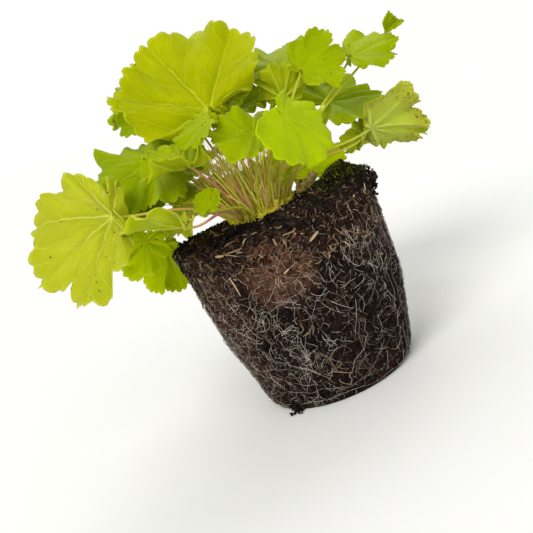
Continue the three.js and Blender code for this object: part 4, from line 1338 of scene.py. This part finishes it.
def make_crown():
    """Low dome of old leaf bases, with papery scales and stubs."""
    draw = np.random.default_rng(31)
    columns, rows, rows_below = 72, 30, 6

    def place(column, row):
        turn = 2 * np.pi * column / columns
        share = np.clip(row / (rows - rows_below), 0, 1)
        below = np.clip((row - rows + rows_below) / rows_below, 0, 1)
        points = polar(turn, CROWN_RADIUS * share * (below < 1),
                       crown_height(share) * (1 - below) + CROWN[2] * below)
        points[:, :2] += CROWN[:2]
        points[:, 2] += np.where(below == 0, 0.9 * rough(points, 2.2, 5), 0)
        return points

    def tone(column, row):
        return np.stack([np.full(len(row), 0.25), row / rows], -1)

    dome = sheet("crown_scaly", columns, rows, place, {"tone": tone}, SCALE)
    in_edit(dome, bpy.ops.mesh.normals_make_consistent, inside=False)
    turn = draw.uniform(0, 2 * np.pi, SCALES)
    out = np.sqrt(draw.uniform(0.02, 1.0, SCALES))
    base = polar(turn, CROWN_RADIUS * out, crown_height(out) - 0.6)
    base[:, :2] += CROWN[:2]
    lean = unit(polar(turn, 0.5 * out, 1.0) + 0.3 * draw.normal(size=(SCALES, 3)))
    parts = [copies("crown_scales", SPIKE, base,
                    spike_frames(lean, draw.uniform(0.4, 1.1, SCALES),
                                 draw.uniform(1.5, 5.0, SCALES)),
                    draw.uniform(0.1, 1.0, SCALES), SCALE)]
    steps = np.linspace(0, 1, STUB_STEPS)[:, None]
    radii = np.linspace(*STUB_RADII, STUB_STEPS)
    for direction, length in STUBS:
        turn = math.radians(direction)
        start = CROWN + polar(turn, CROWN_RADIUS - 2.2, 2)
        path = start + polar(turn, 0.5 * length, length) * steps
        parts.append(tube("stub", path, radii, STUB_SIDES, STEMS["tan"]))
    join(dome, parts)
    finish_piece(dome, "crown", "crown")


STALKS, STALK_STEPS = 280, 8
STALK_RING = 13.5
STALK_RADII = (0.22, 0.6)
# A third of the stalks are longer, and stand between these two directions.
LONG_STALK_TURNS = np.radians((140, 245))


def make_old_stalks():
    """Dry threads of old leaf stems that stand among the living ones."""
    draw = np.random.default_rng(37)
    turn = draw.uniform(0, 2 * np.pi, STALKS)
    long_ones = np.arange(STALKS) % 3 == 0
    turn[long_ones] = draw.uniform(*LONG_STALK_TURNS, long_ones.sum())
    ring = STALK_RING * np.sqrt(draw.uniform(0.04, 1, STALKS))
    foot = CROWN + polar(turn, ring, CROWN_DOME - 2.5)
    lean = draw.uniform(0.2, 0.8, STALKS) * ring / 12
    up = polar(turn, lean, 1.0)
    side = draw.normal(0, 0.18, (STALKS, 3)) * np.array((1, 1, 0.3))
    length = (draw.uniform(9, 33, STALKS) + 5 * long_ones) * (1.2 - 0.5 * lean)
    length = length[:, None, None]
    s = np.linspace(0, 1, STALK_STEPS)[None, :, None]
    paths = foot[:, None] + length * (s * unit(up)[:, None] + s * s * side[:, None])
    radii = draw.uniform(*STALK_RADII, (STALKS, 1)) * np.linspace(1, 0.5, STALK_STEPS)
    stalks = strands("old_stalks", paths, radii, 5, draw.uniform(0.25, 1.0, STALKS), STALK)
    finish_piece(stalks, "crown")


# Moss patches: x, y, spread, tufts.
MOSS_PATCHES = [(34, -6, 6.0, 420), (43, -4, 3.0, 120), (25, -20, 3.0, 70), (33, 10, 6.0, 160),
                (-33, -14, 5.0, 30), (-20, 30, 8.0, 160), (20, 32, 8.0, 120)]
MOSS_REACH = 48.5
LEAFLETS = 6


def make_moss():
    """Moss tufts on the right mound and in small patches, each of pointed leaflets."""
    draw = np.random.default_rng(41)
    spots = np.concatenate([draw.normal((x, y), spread, (count, 2))
                            for x, y, spread, count in MOSS_PATCHES])
    spots = on_soil(*spots[np.hypot(*spots.T) < MOSS_REACH].T)
    base = np.repeat(spots + np.array((0, 0, 0.2)), LEAFLETS, axis=0)
    base += draw.normal(size=base.shape) * 0.25
    lean = unit(np.array((0, 0, 0.8)) + draw.normal(size=base.shape) * np.array((0.8, 0.8, 0.4)))
    tones = np.repeat(draw.beta(1.6, 1.8, len(spots)), LEAFLETS) + draw.normal(0, 0.08, len(base))
    tufts = copies("moss_tufts", SPIKE, base,
                   spike_frames(lean, draw.uniform(0.16, 0.32, len(base)),
                                draw.uniform(0.8, 2.0, len(base))), np.clip(tones, 0, 1), MOSS)
    finish_piece(tufts, "soil")


DRY_GRID = (8, 18)


def make_dry_leaf():
    """Withered leaf, curled down on the soil."""
    ground = float(soil_height(np.array([DRY_LEAF.x]), np.array([DRY_LEAF.y]))[0])
    leaf = DRY_LEAF._replace(z=ground - BALL_HEIGHT + DRY_LEAF.z)
    piece = blade("dry_leaf_withered", leaf, *DRY_GRID)
    finish_piece(piece, "dry_leaf", "dry_leaf")


make_ball()
make_crumbs()
make_straws()
make_single_straws()
make_roots()
make_crown()
make_old_stalks()
make_moss()
make_dry_leaf()


# ---- stage, light and camera --------------------------------------------

deselect()
bpy.ops.mesh.primitive_circle_add(vertices=96, radius=40, fill_type="NGON")
floor = bpy.context.object
floor.name = "floor"
floor.data.materials.append(spotted_finish(
    "pale_floor", 3.0, 2, ((0.93, 0.93, 0.93), (0.95, 0.95, 0.95)), 0.8))


def soft_sun(name, azimuth, elevation, strength, spread, color):
    """Wide soft light from a direction; azimuth 0 is the front and 90 the right."""
    sun = bpy.data.lights.new(name, "SUN")
    sun.energy, sun.angle, sun.color = strength, math.radians(spread), color
    lamp = bpy.data.objects.new(name, sun)
    bpy.context.scene.collection.objects.link(lamp)
    a, e = math.radians(azimuth), math.radians(elevation)
    back = Vector((math.sin(a) * math.cos(e), -math.cos(a) * math.cos(e), math.sin(e)))
    lamp.rotation_euler = back.to_track_quat("Z", "Y").to_euler()


soft_sun("key_light", -30, 40, 1.9, 32, (1.0, 0.985, 0.94))
soft_sun("fill_light", 22, 16, 0.85, 60, (1.0, 0.985, 0.94))
soft_sun("back_light", 165, 50, 0.9, 45, (1.0, 1.0, 0.95))


def studio_world(light, backdrop):
    """White backdrop for the camera, and a dimmer white that lights the plant."""
    world = bpy.data.worlds.new("studio")
    world.use_nodes = True
    tree = world.node_tree
    sky = tree.nodes["Background"]
    seen = tree.nodes.new("ShaderNodeLightPath")
    strength = tree.nodes.new("ShaderNodeMapRange")
    strength.inputs["To Min"].default_value = light
    strength.inputs["To Max"].default_value = backdrop
    tree.links.new(seen.outputs["Is Camera Ray"], strength.inputs["Value"])
    tree.links.new(strength.outputs["Result"], sky.inputs["Strength"])
    sky.inputs["Color"].default_value = (1.0, 1.0, 1.0, 1.0)
    return world


PLANT_LIGHT, BACKDROP_LIGHT = 0.42, 1.0
bpy.context.scene.world = studio_world(PLANT_LIGHT, BACKDROP_LIGHT)
bpy.context.scene.view_settings.view_transform = "Standard"

# Camera: above the front, turned about its axis so that the plant leans to the left.
AIM = Vector((-0.013, 0.0, 0.0625))
CAMERA_RISE = math.radians(12.5)
CAMERA_ROLL = math.radians(23.5)
CAMERA_DISTANCE = 0.400
CAMERA_LENS = 57.24
back = Vector((0, -math.cos(CAMERA_RISE), math.sin(CAMERA_RISE)))
level_right = Vector((1, 0, 0))
level_up = back.cross(level_right)
right = level_right * math.cos(CAMERA_ROLL) - level_up * math.sin(CAMERA_ROLL)
up = level_right * math.sin(CAMERA_ROLL) + level_up * math.cos(CAMERA_ROLL)
camera_data = bpy.data.cameras.new("camera")
camera_data.lens = CAMERA_LENS
camera_data.sensor_width = 36
camera_data.clip_start, camera_data.clip_end = 0.01, 100
camera = bpy.data.objects.new("camera", camera_data)
camera.matrix_world = Matrix.Translation(AIM + back * CAMERA_DISTANCE) @ Matrix(
    (right, up, back)).transposed().to_4x4()
bpy.context.scene.collection.objects.link(camera)
bpy.context.scene.camera = camera

bpy.context.view_layer.update()
